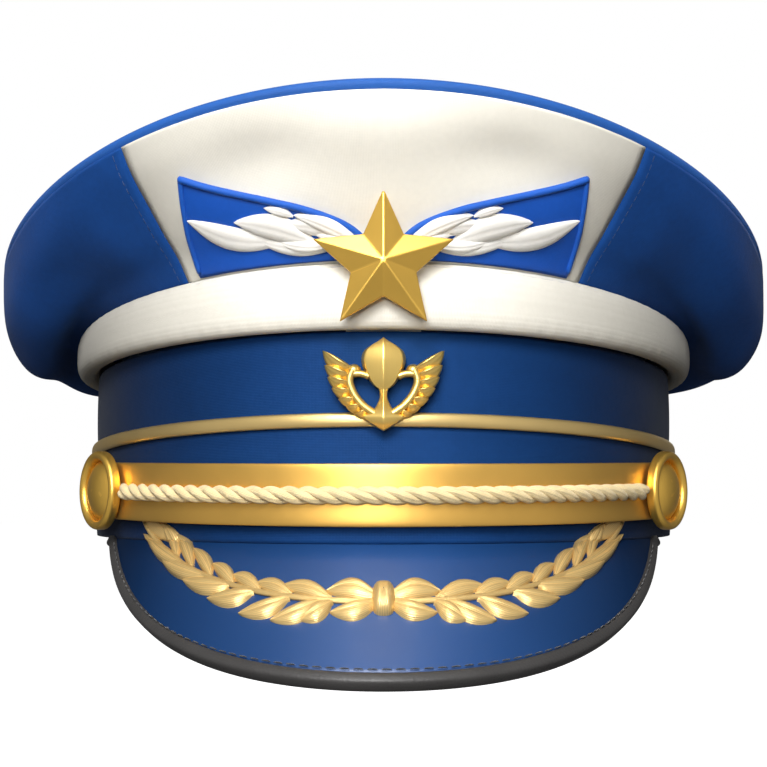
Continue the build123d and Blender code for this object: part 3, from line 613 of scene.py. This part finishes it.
visor_cover = visor_sheet("visor_face", 0.0, 2.6, visor_blue, "visor_gloss", 0.6)
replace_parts(visor_cover, "visor_cover")
visor_under = visor_sheet("visor_lining", -2.35, 2.6, underlay_black, "visor_lining", 0.3)
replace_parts(visor_under, "visor_underlay")

t = np.sin(np.linspace(-0.985, 0.985, 221) * pi / 2)
x, z = visor_edge(t, 1.5)
z = np.minimum(z, -0.6)
path = visor_point(x, z, -1.1)
outward = visor_point(x, z, 1.0) - visor_point(x, z, 0.0)
section = ellipse_section(1.65, 1.85, 20, 3.2)
visor_binding = tube("visor_edge_binding", path, section, outward, binding_black, "cap")
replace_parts(visor_binding, "visor_binding")

# Stitching: short rounded threads laid along a path
thread_blue = yarn("blue_thread", (0.02, 0.06, 0.2), 0.6)
thread_black = yarn("black_thread", (0.02, 0.02, 0.022), 0.6)
thread_tan = yarn("tan_thread", (0.42, 0.27, 0.14), 0.6)


def stitches(name, path, up, material, length, gap, radius):
    """Stitches of a given length and gap, in millimetres, half sunk along a path."""
    steps = lengths(path)
    up = np.broadcast_to(np.asarray(up, float), path.shape)
    starts = np.arange(0, steps[-1] - length, length + gap)

    def at(distance, values):
        return np.stack([np.interp(distance, steps, values[:, k]) for k in range(3)], -1)

    share = np.array([0, 0.12, 0.5, 0.88, 1.0])
    swell = np.array([0.25, 0.85, 1.0, 0.85, 0.25])
    rise = np.array([-0.8, 0.1, 0.3, 0.1, -0.8]) * radius
    verts, faces, uvs = [], [], []
    for start in starts:
        centre = at(start + share * length, path)
        lift = at(start + share * length, up)
        _, side, upward = path_frames(centre, lift)
        ring = ellipse_section(radius, radius * 0.8, 6)
        thread = ring[None, :, :1] * side[:, None] + ring[None, :, 1:] * upward[:, None]
        points = centre[:, None] + swell[:, None, None] * thread + rise[:, None, None] * upward[:, None]
        base = len(verts) * 30
        faces += grid_faces(5, 6, False, True, base)
        faces += [tuple(base + k for k in range(6))[::-1], tuple(base + 24 + k for k in range(6))]
        verts.append(points.reshape(-1, 3))
        uvs.append(np.stack(np.meshgrid(np.arange(6) / 6, share * length / 10), 2).reshape(-1, 2))
    return make_object(name, np.concatenate(verts), faces, material, "cap", np.concatenate(uvs))


def crown_seam(azimuth):
    """Line up the crown at an azimuth, and the way out of the cloth along it."""
    t = np.linspace(0.04, 0.99, 120)
    here, beside = crown_face(azimuth, t), crown_face(azimuth, t, 1.0)
    return here, beside - here


for name, seam in (("front", FRONT_SEAM + 1.6), ("back", BACK_SEAM + 1.4)):
    for side, word in ((-1, "left"), (1, "right")):
        path, up = crown_seam(side * seam)
        stitches(f"{name}_{word}_seam_stitches", path, up, thread_blue, 1.6, 0.5, 0.12)

t = np.sin(np.linspace(-0.93, 0.93, 400) * pi / 2)
x, z = visor_edge(t, 2.7)
path = visor_point(x, z, 0.75)[z < -1.2]
up = (visor_point(x, z, 1.0) - visor_point(x, z, 0.0))[z < -1.2]
stitches("visor_binding_stitches", path, up, thread_black, 2.2, 0.8, 0.2)

# Leaves


def leaf(
    name, base, tip, width, height, place, material, slot,
    bend=0.0, rib=0.24, root=0.35, sink=0.25, rows=22, tilt=0.0,
):
    """Leaf from base to tip on a surface, domed either side of a sunk midrib."""
    base, tip = np.array(base, float), np.array(tip, float)
    u, v = np.linspace(0, 1, rows)[:, None], np.linspace(-1, 1, 15)[None]
    along = tip - base
    length = hypot(*along)
    side = np.array([-along[1], along[0]]) / length
    half = width / 2 * np.maximum(np.sin(pi * np.minimum(u**0.92, 1)) ** 0.72, root * (1 - u) ** 2)
    curve = bend * length * np.sin(pi * u)
    x = base[0] + along[0] * u + side[0] * (curve + half * v)
    z = base[1] + along[1] * u + side[1] * (curve + half * v)
    swell = np.maximum(1 - np.abs(v) ** (2 + 6 * abs(tilt)), 0) ** 0.5 * (1 + tilt * v)
    swell = swell * (0.35 + 0.65 * np.sin(pi * np.clip(u * 0.9 + 0.08, 0, 1)))
    veins = 0.035 * np.cos(v * 3 * pi) * smooth(1.2 - abs(v))
    lift = height * swell * (1 - rib * bump(v, 0, 0.16) + veins)
    return skin(name, place(x, z, lift - sink), material, "cap", slot)


def stem_line(x):
    """Height of the laurel's stem at a distance from the middle."""
    return 9.6 - 22.0 * np.sqrt(np.maximum(1 - (np.abs(x) / 62.0) ** 2.5, 0))


def flat_face(x, z):
    """Visor's face below its join with the band, the band's own face above it."""
    return before_band(x, z, np.maximum(VISOR_TOP - z, 0) * np.tan(VISOR_SLOPE))


def laurel_place(x, z, lift):
    """Point over the visor's or the band's face, for the laurel."""
    return off_face(flat_face, x, z, lift, 0.6)


# Tip of each leaf, seen from the front, and how far along the stem its root lies
LOWER = [
    (18.6, -16.2, 11.4), (25.2, -16.5, 14.2), (32.7, -15.4, 21.2), (40.8, -12.6, 29.6), (47.9, -8.9, 35.6),
    (55.5, -3.8, 42.0), (61.0, 1.6, 47.0),
]
UPPER = [
    (23.4, -9.4, 11.6), (29.6, -9.0, 20.6), (35.5, -7.4, 28.0), (40.7, -5.0, 34.6), (46.4, -1.6, 40.4),
    (51.6, 1.9, 45.8), (55.2, 4.6, 50.2),
]
# Rise of the root above the stem, bend, width and height of the upper and the lower leaves
LEAF_ROWS = ((0.4, 0.07, 3.6, 1.9), (-0.2, -0.06, 3.8, 2.1))


def knob(name, centre, half_x, half_z, height, place, material, slot, power=2.6):
    """Low rounded boss on a surface."""
    r = np.sin(np.linspace(0.02, 1, 18) * pi / 2)[:, None]
    outline = ellipse_section(half_x, half_z, 40, power)
    x, z = centre[0] + r * outline[None, :, 0], centre[1] + r * outline[None, :, 1]
    points = place(x, z, height * np.sqrt(np.maximum(1 - r**2.4, 0)) - 0.2 + 0 * x)
    return skin(name, points, material, "cap", slot, wrap=(False, True))


def laurel_leaf(name, base, tip, width, height, bend=0.0, rib=0.24, root=0.35):
    return leaf(name, base, tip, width, height, laurel_place, laurel_gold, "gold", bend, rib, root)


for side, word in ((-1, "left"), (1, "right")):
    parts = []
    x = np.linspace(2.4, 60.6, 90)
    path = laurel_place(side * x, stem_line(x), 0.35 + 0 * x)
    up = laurel_place(side * x, stem_line(x), 1.35 + 0 * x) - path
    size = np.linspace(0.85, 0.7, 90)[:, None, None]
    parts.append(tube("stem", path, ellipse_section(1, 0.8, 12) * size, up, laurel_gold, "cap"))
    for pair in zip(UPPER, LOWER):
        for (tx, tz, root), (rise, bend, width, height) in zip(pair, LEAF_ROWS):
            base = (side * root, stem_line(root) + rise)
            parts.append(laurel_leaf("leaf", base, (side * tx, tz), width, height, bend * side))
    parts.append(laurel_leaf("tab", (side * 53.5, 0.2), (side * 63.2, 7.4), 4.6, 0.9, rib=0.1))
    spray = joined(parts, f"laurel_{word}_spray")
    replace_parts(spray, f"laurel_{word}")

lobes = []
for side in (-1, 1):
    for root_z, (tx, tz), width, height, bend in (
        (-11.6, (12.9, -10.4), 4.4, 2.4, 0.10), (-12.4, (11.9, -14.7), 3.9, 2.2, -0.07),
    ):
        base, end = (side * 1.2, root_z), (side * tx, tz)
        lobes.append(laurel_leaf("lobe", base, end, width, height, bend * side, root=0.7))
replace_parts(joined(lobes, "laurel_bow_lobes"), "laurel_bow")
knot = knob("laurel_knot", (0, -12.0), 2.6, 3.1, 4.0, laurel_place, laurel_gold, "gold", 3.2)
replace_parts(knot, "laurel_ring")

# Panels of blue satin and white leaves on the crown's front


def crown_place(x, z, lift):
    """Point on the crown's front seen at (x, z), found by stepping along azimuth and height."""
    x, z = np.broadcast_arrays(np.asarray(x, float), np.asarray(z, float))
    azimuth = np.degrees(np.arcsin(np.clip(x / 97, -0.9, 0.9)))
    t = np.clip((z - 66) / 37, 0.02, 0.98)
    for _ in range(7):
        p = crown_face(azimuth, t)
        pa, pt = crown_face(azimuth + 0.3, t) - p, crown_face(azimuth, t + 0.01) - p
        dx, dz = x - p[..., 0], z - p[..., 2]
        det = pa[..., 0] * pt[..., 2] - pa[..., 2] * pt[..., 0]
        azimuth = azimuth + np.clip(0.3 * (dx * pt[..., 2] - dz * pt[..., 0]) / det, -6, 6)
        t = np.clip(t + np.clip(0.01 * (dz * pa[..., 0] - dx * pa[..., 2]) / det, -0.2, 0.2), 0.005, 0.99)
    return crown_face(azimuth, t, lift)


def smooth_curve(points, count):
    """Curve of a given number of points through a few points."""
    points = np.array(points, float)
    t = np.linspace(0, 1, count)
    return np.stack([spline(list(points[:, k]), t) for k in range(points.shape[1])], 1)


TOP_EDGE = [(3.4, 70.0), (6.4, 73.2), (10.5, 75.6), (18.2, 78.3), (27.2, 80.6), (40.7, 84.0), (48.0, 86.4)]
OUTER_EDGE = [(48.0, 86.4), (47.6, 79.6), (46.8, 73.4), (44.9, 66.4)]
# Root, tip, width, bend and height of each white leaf
SPRAY = [
    ((23.5, 71.6), (47.0, 77.6), 5.4, -0.07, 1.9), ((21.0, 77.0), (28.0, 79.1), 2.2, 0.04, 1.9),
    ((16.0, 71.2), (35.2, 76.5), 5.8, 0.05, 2.7), ((11.5, 70.6), (25.5, 72.2), 3.4, -0.06, 3.0),
    ((4.8, 69.8), (20.8, 77.4), 4.0, 0.07, 3.3), ((4.0, 69.6), (16.5, 73.6), 3.2, 0.02, 3.7),
    ((5.5, 72.6), (24.5, 75.4), 4.4, 0.03, 2.3), ((10.0, 70.4), (31.0, 72.9), 3.8, -0.07, 2.2),
]


def flash_cord_along(name, line, side, lift, width, height, sides):
    """Cord along one edge of a flash, on the crown's face."""
    path = crown_place(side * line[:, 0], line[:, 1], lift + 0 * line[:, 0])
    up = crown_place(side * line[:, 0], line[:, 1], lift + 1 + 0 * line[:, 0]) - path
    return tube(name, path, ellipse_section(width, height, sides), up, flash_cord, "cap")


for side, word in ((-1, "left"), (1, "right")):
    top = smooth_curve(TOP_EDGE, 60)
    low_x = np.linspace(3.0, 44.5, 60)
    low_z = crown_base(np.degrees(np.arcsin(low_x / 87)), 0.01)[:, 2] + 0.3
    v = np.linspace(0, 1, 26)[:, None]
    outer = smooth_curve(OUTER_EDGE, 26)[::-1]
    x = low_x[None] + (top[:, 0] - low_x)[None] * v
    z = low_z[None] + (top[:, 1] - low_z)[None] * v
    x += (outer[:, 0:1] - x[:, -1:]) * np.linspace(0, 1, 60)[None] ** 4
    edge = np.minimum(smooth(v * 12 + 0.4), smooth((1 - v) * 14))
    points = crown_place(side * x, z, 0.15 + 0.55 * edge + 0 * x)
    flash = skin("flash", points, cobalt, "cap", "cobalt_cloth", thickness=0.35, flip=side < 0)
    cord = flash_cord_along("flash_edge", top, side, 0.85, 0.55, 0.5, 12)
    hem = flash_cord_along("flash_end", smooth_curve(OUTER_EDGE, 30), side, 0.7, 0.35, 0.3, 8)
    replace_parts(joined([flash, cord, hem], f"{word}_flash_satin"), f"{word}_flash_insert")
    cut_cloth(points)
    leaves = []
    for (bx, bz), (tx, tz), width, bend, height in SPRAY:
        base, end = (side * bx, bz), (side * tx, tz)
        style = dict(bend=bend * side, rib=0.16, root=0.3, sink=-0.2, rows=30)
        leaves.append(leaf("leaf", base, end, width, height, crown_place, leaf_white, "leaf_silk", **style))
    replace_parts(joined(leaves, f"{word}_spray_leaves"), f"{word}_leaf_spray")

# Chin strap with its cord
azimuth = np.radians(np.linspace(-60.2, 60.2, 320))
middle = (STRAP_IN + STRAP_OUT) / 2
x, y = (BAND[0] + middle) * np.sin(azimuth), -(BAND[1] + middle) * np.cos(azimuth)
path = np.stack([x, y, 0 * azimuth], 1)
path[:, 2] = strap_mid(path[:, 1])
steps = lengths(path)
from_end = np.minimum(steps, steps[-1] - steps)
into_end = np.maximum(STRAP_END_RADIUS - from_end, 0)
half = np.sqrt(np.maximum(STRAP_END_RADIUS**2 - into_end**2, 0.3)) * STRAP_HALF_HEIGHT / STRAP_END_RADIUS
section = ellipse_section((STRAP_OUT - STRAP_IN) / 2, 1, 40, 7.0)
sections = np.stack([section[None, :, 0] + 0 * half[:, None], section[None, :, 1] * half[:, None]], 2)
strap = tube("strap_band", path, sections, (0, 0, 1), strap_gold, "chin_strap")
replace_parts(strap, "chin_strap")

azimuth = np.radians(np.linspace(-CORD_END, CORD_END, 420))
centre = np.stack([CORD[0] * np.sin(azimuth), -CORD[1] * np.cos(azimuth), 0 * azimuth], 1)
centre[:, 2] = strap_mid(centre[:, 1])
steps = lengths(centre)
_, side, upward = path_frames(centre, (0, 0, 1))
taper = np.sqrt(np.clip(np.minimum(steps, steps[-1] - steps) / 1.6, 0.02, 1))[:, None]
strands = []
for k in range(STRANDS):
    turn = (-steps / CORD_PITCH * 2 * pi + k * 2 * pi / STRANDS)[:, None]
    path = centre + 1.03 * taper * (np.cos(turn) * side + np.sin(turn) * upward)
    section = ellipse_section(1.14, 1.14, 12)[None] * taper[:, :, None]
    strands.append(tube("strand", path, section, (0, 0, 1), cord_cream, "chin_strap"))
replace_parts(joined(strands, "strap_cord_strands"), "chin_cord")

# Buttons: turned rim and shallow dome


def turned(name, profile, place, axis, body, samples=60):
    """Solid of revolution: a smooth profile of (radius, distance along the axis)."""
    axis = np.array(axis, float)
    across = unit(np.cross(axis, (0, 0, 1.0)))
    third = np.cross(axis, across)
    curve = smooth_curve(profile, samples)
    a = (np.arange(96) * 2 * pi / 96)[None, :, None]
    radius = np.maximum(curve[:, None, :1], 0.01)
    points = np.array(place) + curve[:, None, 1:] * axis + radius * (np.cos(a) * across + np.sin(a) * third)
    return skin(name, points, gold, body, "gold", wrap=(False, True), flip=True)


BUTTON_RIM = [
    (7.6, 4.4), (9.0, 4.3), (10.0, 4.35), (10.3, 4.7), (10.32, 5.6), (10.3, 6.4), (10.05, 6.95), (9.6, 7.28),
    (9.1, 7.33), (8.6, 7.15), (8.2, 6.75), (7.95, 6.2), (7.85, 5.5), (7.8, 4.9), (7.6, 4.4),
]
BUTTON_FACE = [
    (0, 8.1), (1.5, 8.02), (3.0, 7.75), (4.5, 7.3), (5.8, 6.7), (6.8, 6.05), (7.5, 5.5), (7.85, 5.2),
    (7.95, 4.9),
]
for side, word in ((-1, "left"), (1, "right")):
    a = radians(BUTTON_AZIMUTH)
    place = (side * BAND[0] * sin(a), -BAND[1] * cos(a), BUTTON_Z)
    normal = unit(np.array([side * sin(a) / BAND[0], -BUTTON_TURN * cos(a) / BAND[1], 0]))
    bezel = turned(f"{word}_button_rim", BUTTON_RIM, place, normal, f"{word}_button", 110)
    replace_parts(bezel, f"{word}_button_bezel")
    dome = turned(f"{word}_button_face", BUTTON_FACE, place, normal, f"{word}_button")
    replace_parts(dome, f"{word}_button_dome")

# Star: ten smooth facets with softened ridges
corners = []
for k in range(10):
    radius = STAR_R if k % 2 == 0 else STAR_R * STAR_WAIST
    corners.append((radius * sin(k * pi / 5), STAR_Z + radius * cos(k * pi / 5)))
verts = [(x, y, z) for y in (STAR_Y, STAR_Y - STAR_EDGE) for x, z in corners]
verts += [(0, STAR_Y - STAR_PEAK, STAR_Z), (0, STAR_Y, STAR_Z)]
faces = []
for k in range(10):
    j = (k + 1) % 10
    faces += [(k, j, 10 + j, 10 + k), (10 + k, 10 + j, 20), (j, k, 21)]
star = make_object("star_relief", verts, faces, gold, "cap", smooth_shade=False)
bevel = star.modifiers.new("soft_ridges", "BEVEL")
bevel.width, bevel.segments, bevel.limit_method = 0.32 * MM, 4, "ANGLE"
bevel.angle_limit = radians(8)
bevel.harden_normals = True
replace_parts(star, "star_badge")

# Winged badge: feathers, arms, a ridged blade and a spear


def badge_place(x, z, lift):
    """Point on the badge's flat back, moved forward by a lift."""
    x, z, lift = np.broadcast_arrays(x, z, lift)
    return np.stack([x, BADGE_Y - lift, BADGE_Z + z], -1)


def relief(name, half_widths, heights, edge, crest):
    """Upright boss with a sharp middle ridge: (z, half width) stations and (z, crest share) stations."""
    stations = smooth_curve(half_widths, 60)
    z, half = stations[:, :1], np.maximum(stations[:, 1:], 0.02)
    crest_line = smooth_curve(heights, 80)
    share = np.interp(z[:, 0], crest_line[:, 0], crest_line[:, 1])[:, None]
    v = np.linspace(-1, 1, 41)[None]
    lift = edge * smooth((1 - abs(v)) * 7) + crest * share * (1 - abs(v)) ** 0.9
    return skin(name, badge_place(half * v, z + 0 * v, lift - 0.1), badge_gold, "cap", "gold")


def badge_bar(name, points, side, count, lift, width, height):
    """Round bar on the badge through a few points."""
    line = smooth_curve(points, count) * (side, 1)
    path = badge_place(line[:, 0], line[:, 1], lift + 0 * line[:, 0])
    return tube(name, path, ellipse_section(width, height, 16), (0, -1, 0), badge_gold, "cap")


# Root, tip and width of each feather; stations (z, half width) and (z, crest share) of the reliefs
FEATHERS = [
    ((7.0, 2.8), (14.3, 7.6), 3.6), ((7.5, 1.4), (13.9, 4.2), 3.4), ((7.6, -0.3), (13.2, 1.4), 3.1),
    ((7.0, -2.1), (12.2, -1.2), 2.8), ((5.9, -3.8), (10.6, -3.7), 2.6), ((4.7, -5.2), (8.7, -5.7), 2.4),
    ((3.3, -6.3), (6.8, -7.4), 2.1),
]
ARM = [(7.2, 3.2), (8.0, 0.6), (7.0, -2.4), (5.0, -5.0), (2.6, -6.8), (0.8, -7.8)]
BAR = [(3.4, 1.6), (5.2, 2.2), (7.6, 2.2)]
SPEAR = [
    (-11.2, 0.0), (-10.2, 1.9), (-9.0, 4.0), (-7.9, 5.3), (-7.2, 4.2), (-6.2, 2.5), (-4.8, 1.5), (-3.2, 0.95),
    (-1.6, 1.1), (-0.4, 2.0),
]
SPEAR_CREST = [(-11.2, 0.15), (-8.2, 1.0), (-3.0, 0.5), (-0.4, 0.4)]
BLADE = [
    (-1.6, 0.0), (-1.3, 1.2), (-0.3, 2.6), (1.6, 3.9), (4.0, 4.9), (6.0, 5.2), (7.7, 4.6), (9.0, 3.0),
    (9.9, 1.3), (10.7, 0.0),
]
BLADE_CREST = [(-1.6, 0.1), (1.0, 0.7), (5.6, 1.0), (9.0, 0.7), (10.7, 0.1)]
wings = []
for side in (-1, 1):
    wings.append(badge_bar("arm", ARM, side, 60, 1.2, 0.95, 1.0))
    wings.append(badge_bar("bar", BAR, side, 24, 1.1, 0.85, 0.9))
    wings.append(knob("shoulder", (side * 7.0, 3.0), 1.75, 1.6, 2.3, badge_place, badge_gold, "gold", 2.0))
    for k, ((rx, rz), (tx, tz), width) in enumerate(FEATHERS):
        root, end, height = (side * rx, rz), (side * tx, tz), 2.0 - 0.08 * k
        style = dict(bend=-0.11 * side, rib=0.0, root=0.9, sink=0.1, tilt=0.6 * side)
        wings.append(leaf("feather", root, end, width, height, badge_place, badge_gold, "gold", **style))
wings.append(relief("spear", SPEAR, SPEAR_CREST, 1.3, 2.1))
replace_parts(joined(wings, "wing_feathers"), "wing_badge")
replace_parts(relief("blade_relief", BLADE, BLADE_CREST, 1.9, 1.9), "badge_blade")

# Sweatband, its bow and the lining
t, a = round_grid(40, 480)
wrinkle = 0.12 * np.sin(a * 41 + 5 * t) * np.sin(pi * t) + 0.1 * np.sin(a * 19 + 2) * t
x, y = (SWEAT[0] + 0.25 + wrinkle) * np.sin(a), -(SWEAT[1] + 0.25 + wrinkle) * np.cos(a)
inner = np.stack([x, y, 0.4 + 32.4 * t + 0 * a], 2)
sweat = skin("sweatband_leather", inner, sweat_brown, "cap", "sweat_leather", wrap=(False, True), flip=True)
solid = sweat.modifiers.new("thickness", "SOLIDIFY")
solid.thickness, solid.offset = 0.9 * MM, -1
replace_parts(sweat, "sweatband")
path = oval(SWEAT[0] + 0.2, SWEAT[1] + 0.2, lambda y: 3.4 + 0 * y, 600)
inward = unit(-path * (1, 1, 0))
stitches("sweatband_stitches", path, inward, thread_tan, 2.6, 1.0, 0.25)

# Lining: a gathered sideband below a tip that hangs a little, with small soft creases
t, a = round_grid(34, 360)
half_x, half_y = SWEAT[0] - 2.4, SWEAT[1] - 2.4
top = rim_line(-half_y * np.cos(a)) - 6.9
gather = 0.7 * np.sin(a * 47 + 2 * np.sin(a * 5)) * (0.3 + 0.7 * t) + 0.5 * np.sin(a * 23 + 5 * t)
slack = (1.3 + gather) * np.sin(pi * np.clip(t * 0.96 + 0.02, 0, 1)) ** 0.7
points = np.stack([(half_x - slack) * np.sin(a), -(half_y - slack) * np.cos(a), 36 + (top - 36) * t], 2)
satin_look = dict(wrap=(False, True), thickness=0.5, flip=True)
lining = skin("lining_sideband", points, lining_blue, "cap", "lining", **satin_look)
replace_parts(lining, "lining_front", "lining_left", "lining_right", "lining_back")
cut_cloth(points, True)
r, a = round_grid(36, 240)
x, y = half_x * r * np.sin(a), -half_y * r * np.cos(a)
sag = -2.2 * (1 - r**2) - 0.5 * bump(r, 0.94, 0.03) + 0.25 * np.sin(a * 31) * smooth((r - 0.7) * 4)
points = np.stack([x, y, rim_line(y) - 6.6 + sag], 2)
tip = skin("lining_tip_cloth", points, lining_blue, "cap", "lining", **satin_look)
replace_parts(tip, "lining_tip")


def bow_place(x, z, lift):
    """Point inside the back of the sweatband."""
    x, z, lift = np.broadcast_arrays(x, z, lift)
    return np.stack([x, SWEAT[1] - 0.7 - lift, 9 + z], -1)


# Flat ribbon bow over the sweatband's seam at the back
loops = []
for side in (-1, 1):
    for height, reach, drop in ((1.5, 8.2, 0.6), (1.1, 7.0, -2.6)):
        root, end = (side * 0.4, 0.1), (side * reach, drop)
        style = dict(bend=0.04 * side, rib=0.35, root=0.5, sink=0.3)
        loops.append(leaf("loop", root, end, 3.8, height, bow_place, lining_blue, "lining", **style))
loops.append(knob("tie", (0, 0), 1.5, 1.7, 2.0, bow_place, lining_blue, "lining"))
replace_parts(joined(loops, "sweatband_ribbon_bow"), "sweatband_bow")

# Parts kept from the frame: steel, foam, board and small fittings
steel = metal("spring_steel", (0.55, 0.56, 0.58), 0.22, 0.4)
plain_gold = metal("pale_brass", (0.76, 0.62, 0.32), 0.26, 0.4)
foam = cloth("felted_padding", (0.72, 0.70, 0.66), thread=1.6, roughness=0.95)
board = hide("pressed_board", (0.33, 0.27, 0.2), 0.8, 0.5)
film = Shader("clear_shield", (0.85, 0.87, 0.88), 0.18, Transmission_Weight=0.6, Alpha=0.55)
film.relief(film.noise(30, 3), 0.1, 0.4)
film.rough(film.noise(20, 3), 0.12, 0.3)
KEPT = {
    "crown_hoop": steel, "crown_front_stay": steel, "lining_shield": film.material, "roll_core": foam,
    "band_stiffener": board, "visor_board": board,
}
FITTINGS = ["band_eyelets", "strap_eyelets", "star_post", "star_nut", "badge_posts", "badge_nuts"]
FITTINGS += [f"{word}_button_{part}" for word in ("left", "right") for part in ("shank", "washer")]
KEPT.update((node, plain_gold) for node in FITTINGS)
for node, material in KEPT.items():
    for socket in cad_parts[node].material_slots:
        socket.material = material

# Studio


def area_light(name, place, target, size, power):
    """White rectangular light that faces a target; metres and watts."""
    data = bpy.data.lights.new(name, "AREA")
    data.shape, data.size, data.size_y = "RECTANGLE", *size
    data.energy = power
    obj = bpy.data.objects.new(name, data)
    obj.location = place
    obj.rotation_euler = (Vector(target) - Vector(place)).to_track_quat("-Z", "Y").to_euler()
    bpy.context.scene.collection.objects.link(obj)


area_light("key", (-0.09, -0.8, 0.44), (0, -0.05, 0.03), (0.34, 0.34), 8.0)
area_light("front", (-0.08, -0.95, 0.13), (0, -0.05, 0.03), (0.3, 0.14), 2.8)
area_light("fill", (0.9, -0.9, 0.15), (0, 0, 0.04), (0.8, 0.8), 0.3)
area_light("overhead", (-0.06, -0.44, 0.95), (0, -0.1, 0), (0.22, 0.4), 4.0)
area_light("back", (0.2, 1.3, 0.6), (0, 0, 0.05), (1.2, 0.9), 1.8)

world = bpy.data.worlds.new("studio")
bpy.context.scene.world = world
world.use_nodes = True
tree = world.node_tree
path_kind = tree.nodes.new("ShaderNodeLightPath")


def sky(strength, ray=None, below=None, behind=None):
    """White surroundings laid over another sky for one kind of ray, fading to the strength behind the cap."""
    light = tree.nodes.new("ShaderNodeBackground")
    light.inputs["Color"].default_value = (1, 1, 1, 1)
    light.inputs["Strength"].default_value = strength
    if behind is not None:
        place, axes = tree.nodes.new("ShaderNodeTexCoord"), tree.nodes.new("ShaderNodeSeparateXYZ")
        fade = tree.nodes.new("ShaderNodeMapRange")
        limits = {"From Min": -0.25, "From Max": 0.3, "To Min": strength, "To Max": behind}
        for socket, value in limits.items():
            fade.inputs[socket].default_value = value
        tree.links.new(place.outputs["Generated"], axes.inputs["Vector"])
        tree.links.new(axes.outputs["Y"], fade.inputs["Value"])
        tree.links.new(fade.outputs["Result"], light.inputs["Strength"])
    if below is None:
        return light.outputs[0]
    mix = tree.nodes.new("ShaderNodeMixShader")
    tree.links.new(path_kind.outputs[ray], mix.inputs["Fac"])
    tree.links.new(below, mix.inputs[1])
    tree.links.new(light.outputs[0], mix.inputs[2])
    return mix.outputs[0]


surroundings = sky(1.0, "Is Camera Ray", sky(0.42, "Is Glossy Ray", sky(0.065), 0.12))
tree.links.new(surroundings, tree.nodes["World Output"].inputs["Surface"])

FLOOR_REACH, FLOOR_Z = 6.0, -0.12
floor_mesh = bpy.data.meshes.new("floor")
corners = [(FLOOR_REACH * x, FLOOR_REACH * y, FLOOR_Z) for x, y in ((-1, -1), (1, -1), (1, 1), (-1, 1))]
floor_mesh.from_pydata(corners, [], [(0, 1, 2, 3)])
floor = bpy.data.objects.new("floor", floor_mesh)
bpy.context.scene.collection.objects.link(floor)
glow = dict(Emission_Color=(1, 1, 1, 1), Emission_Strength=0.95)
paint = Shader("pale_floor", (0.9, 0.9, 0.9), 0.9, Specular_IOR_Level=0.1, **glow)
paint.tint(paint.noise(3, 2), 0.99, 1.0)
floor_mesh.materials.append(paint.material)
floor.visible_diffuse = floor.visible_glossy = False

camera_data = bpy.data.cameras.new("camera")
camera_data.lens, camera_data.sensor_width, camera_data.clip_start = 68.92, 36, 0.01
camera = bpy.data.objects.new("camera", camera_data)
camera.location = (0, -0.450, 0.0115)
camera.rotation_euler = (radians(94.342), 0, 0)
bpy.context.scene.collection.objects.link(camera)
bpy.context.scene.camera = camera
bpy.context.scene.view_settings.view_transform = "Standard"
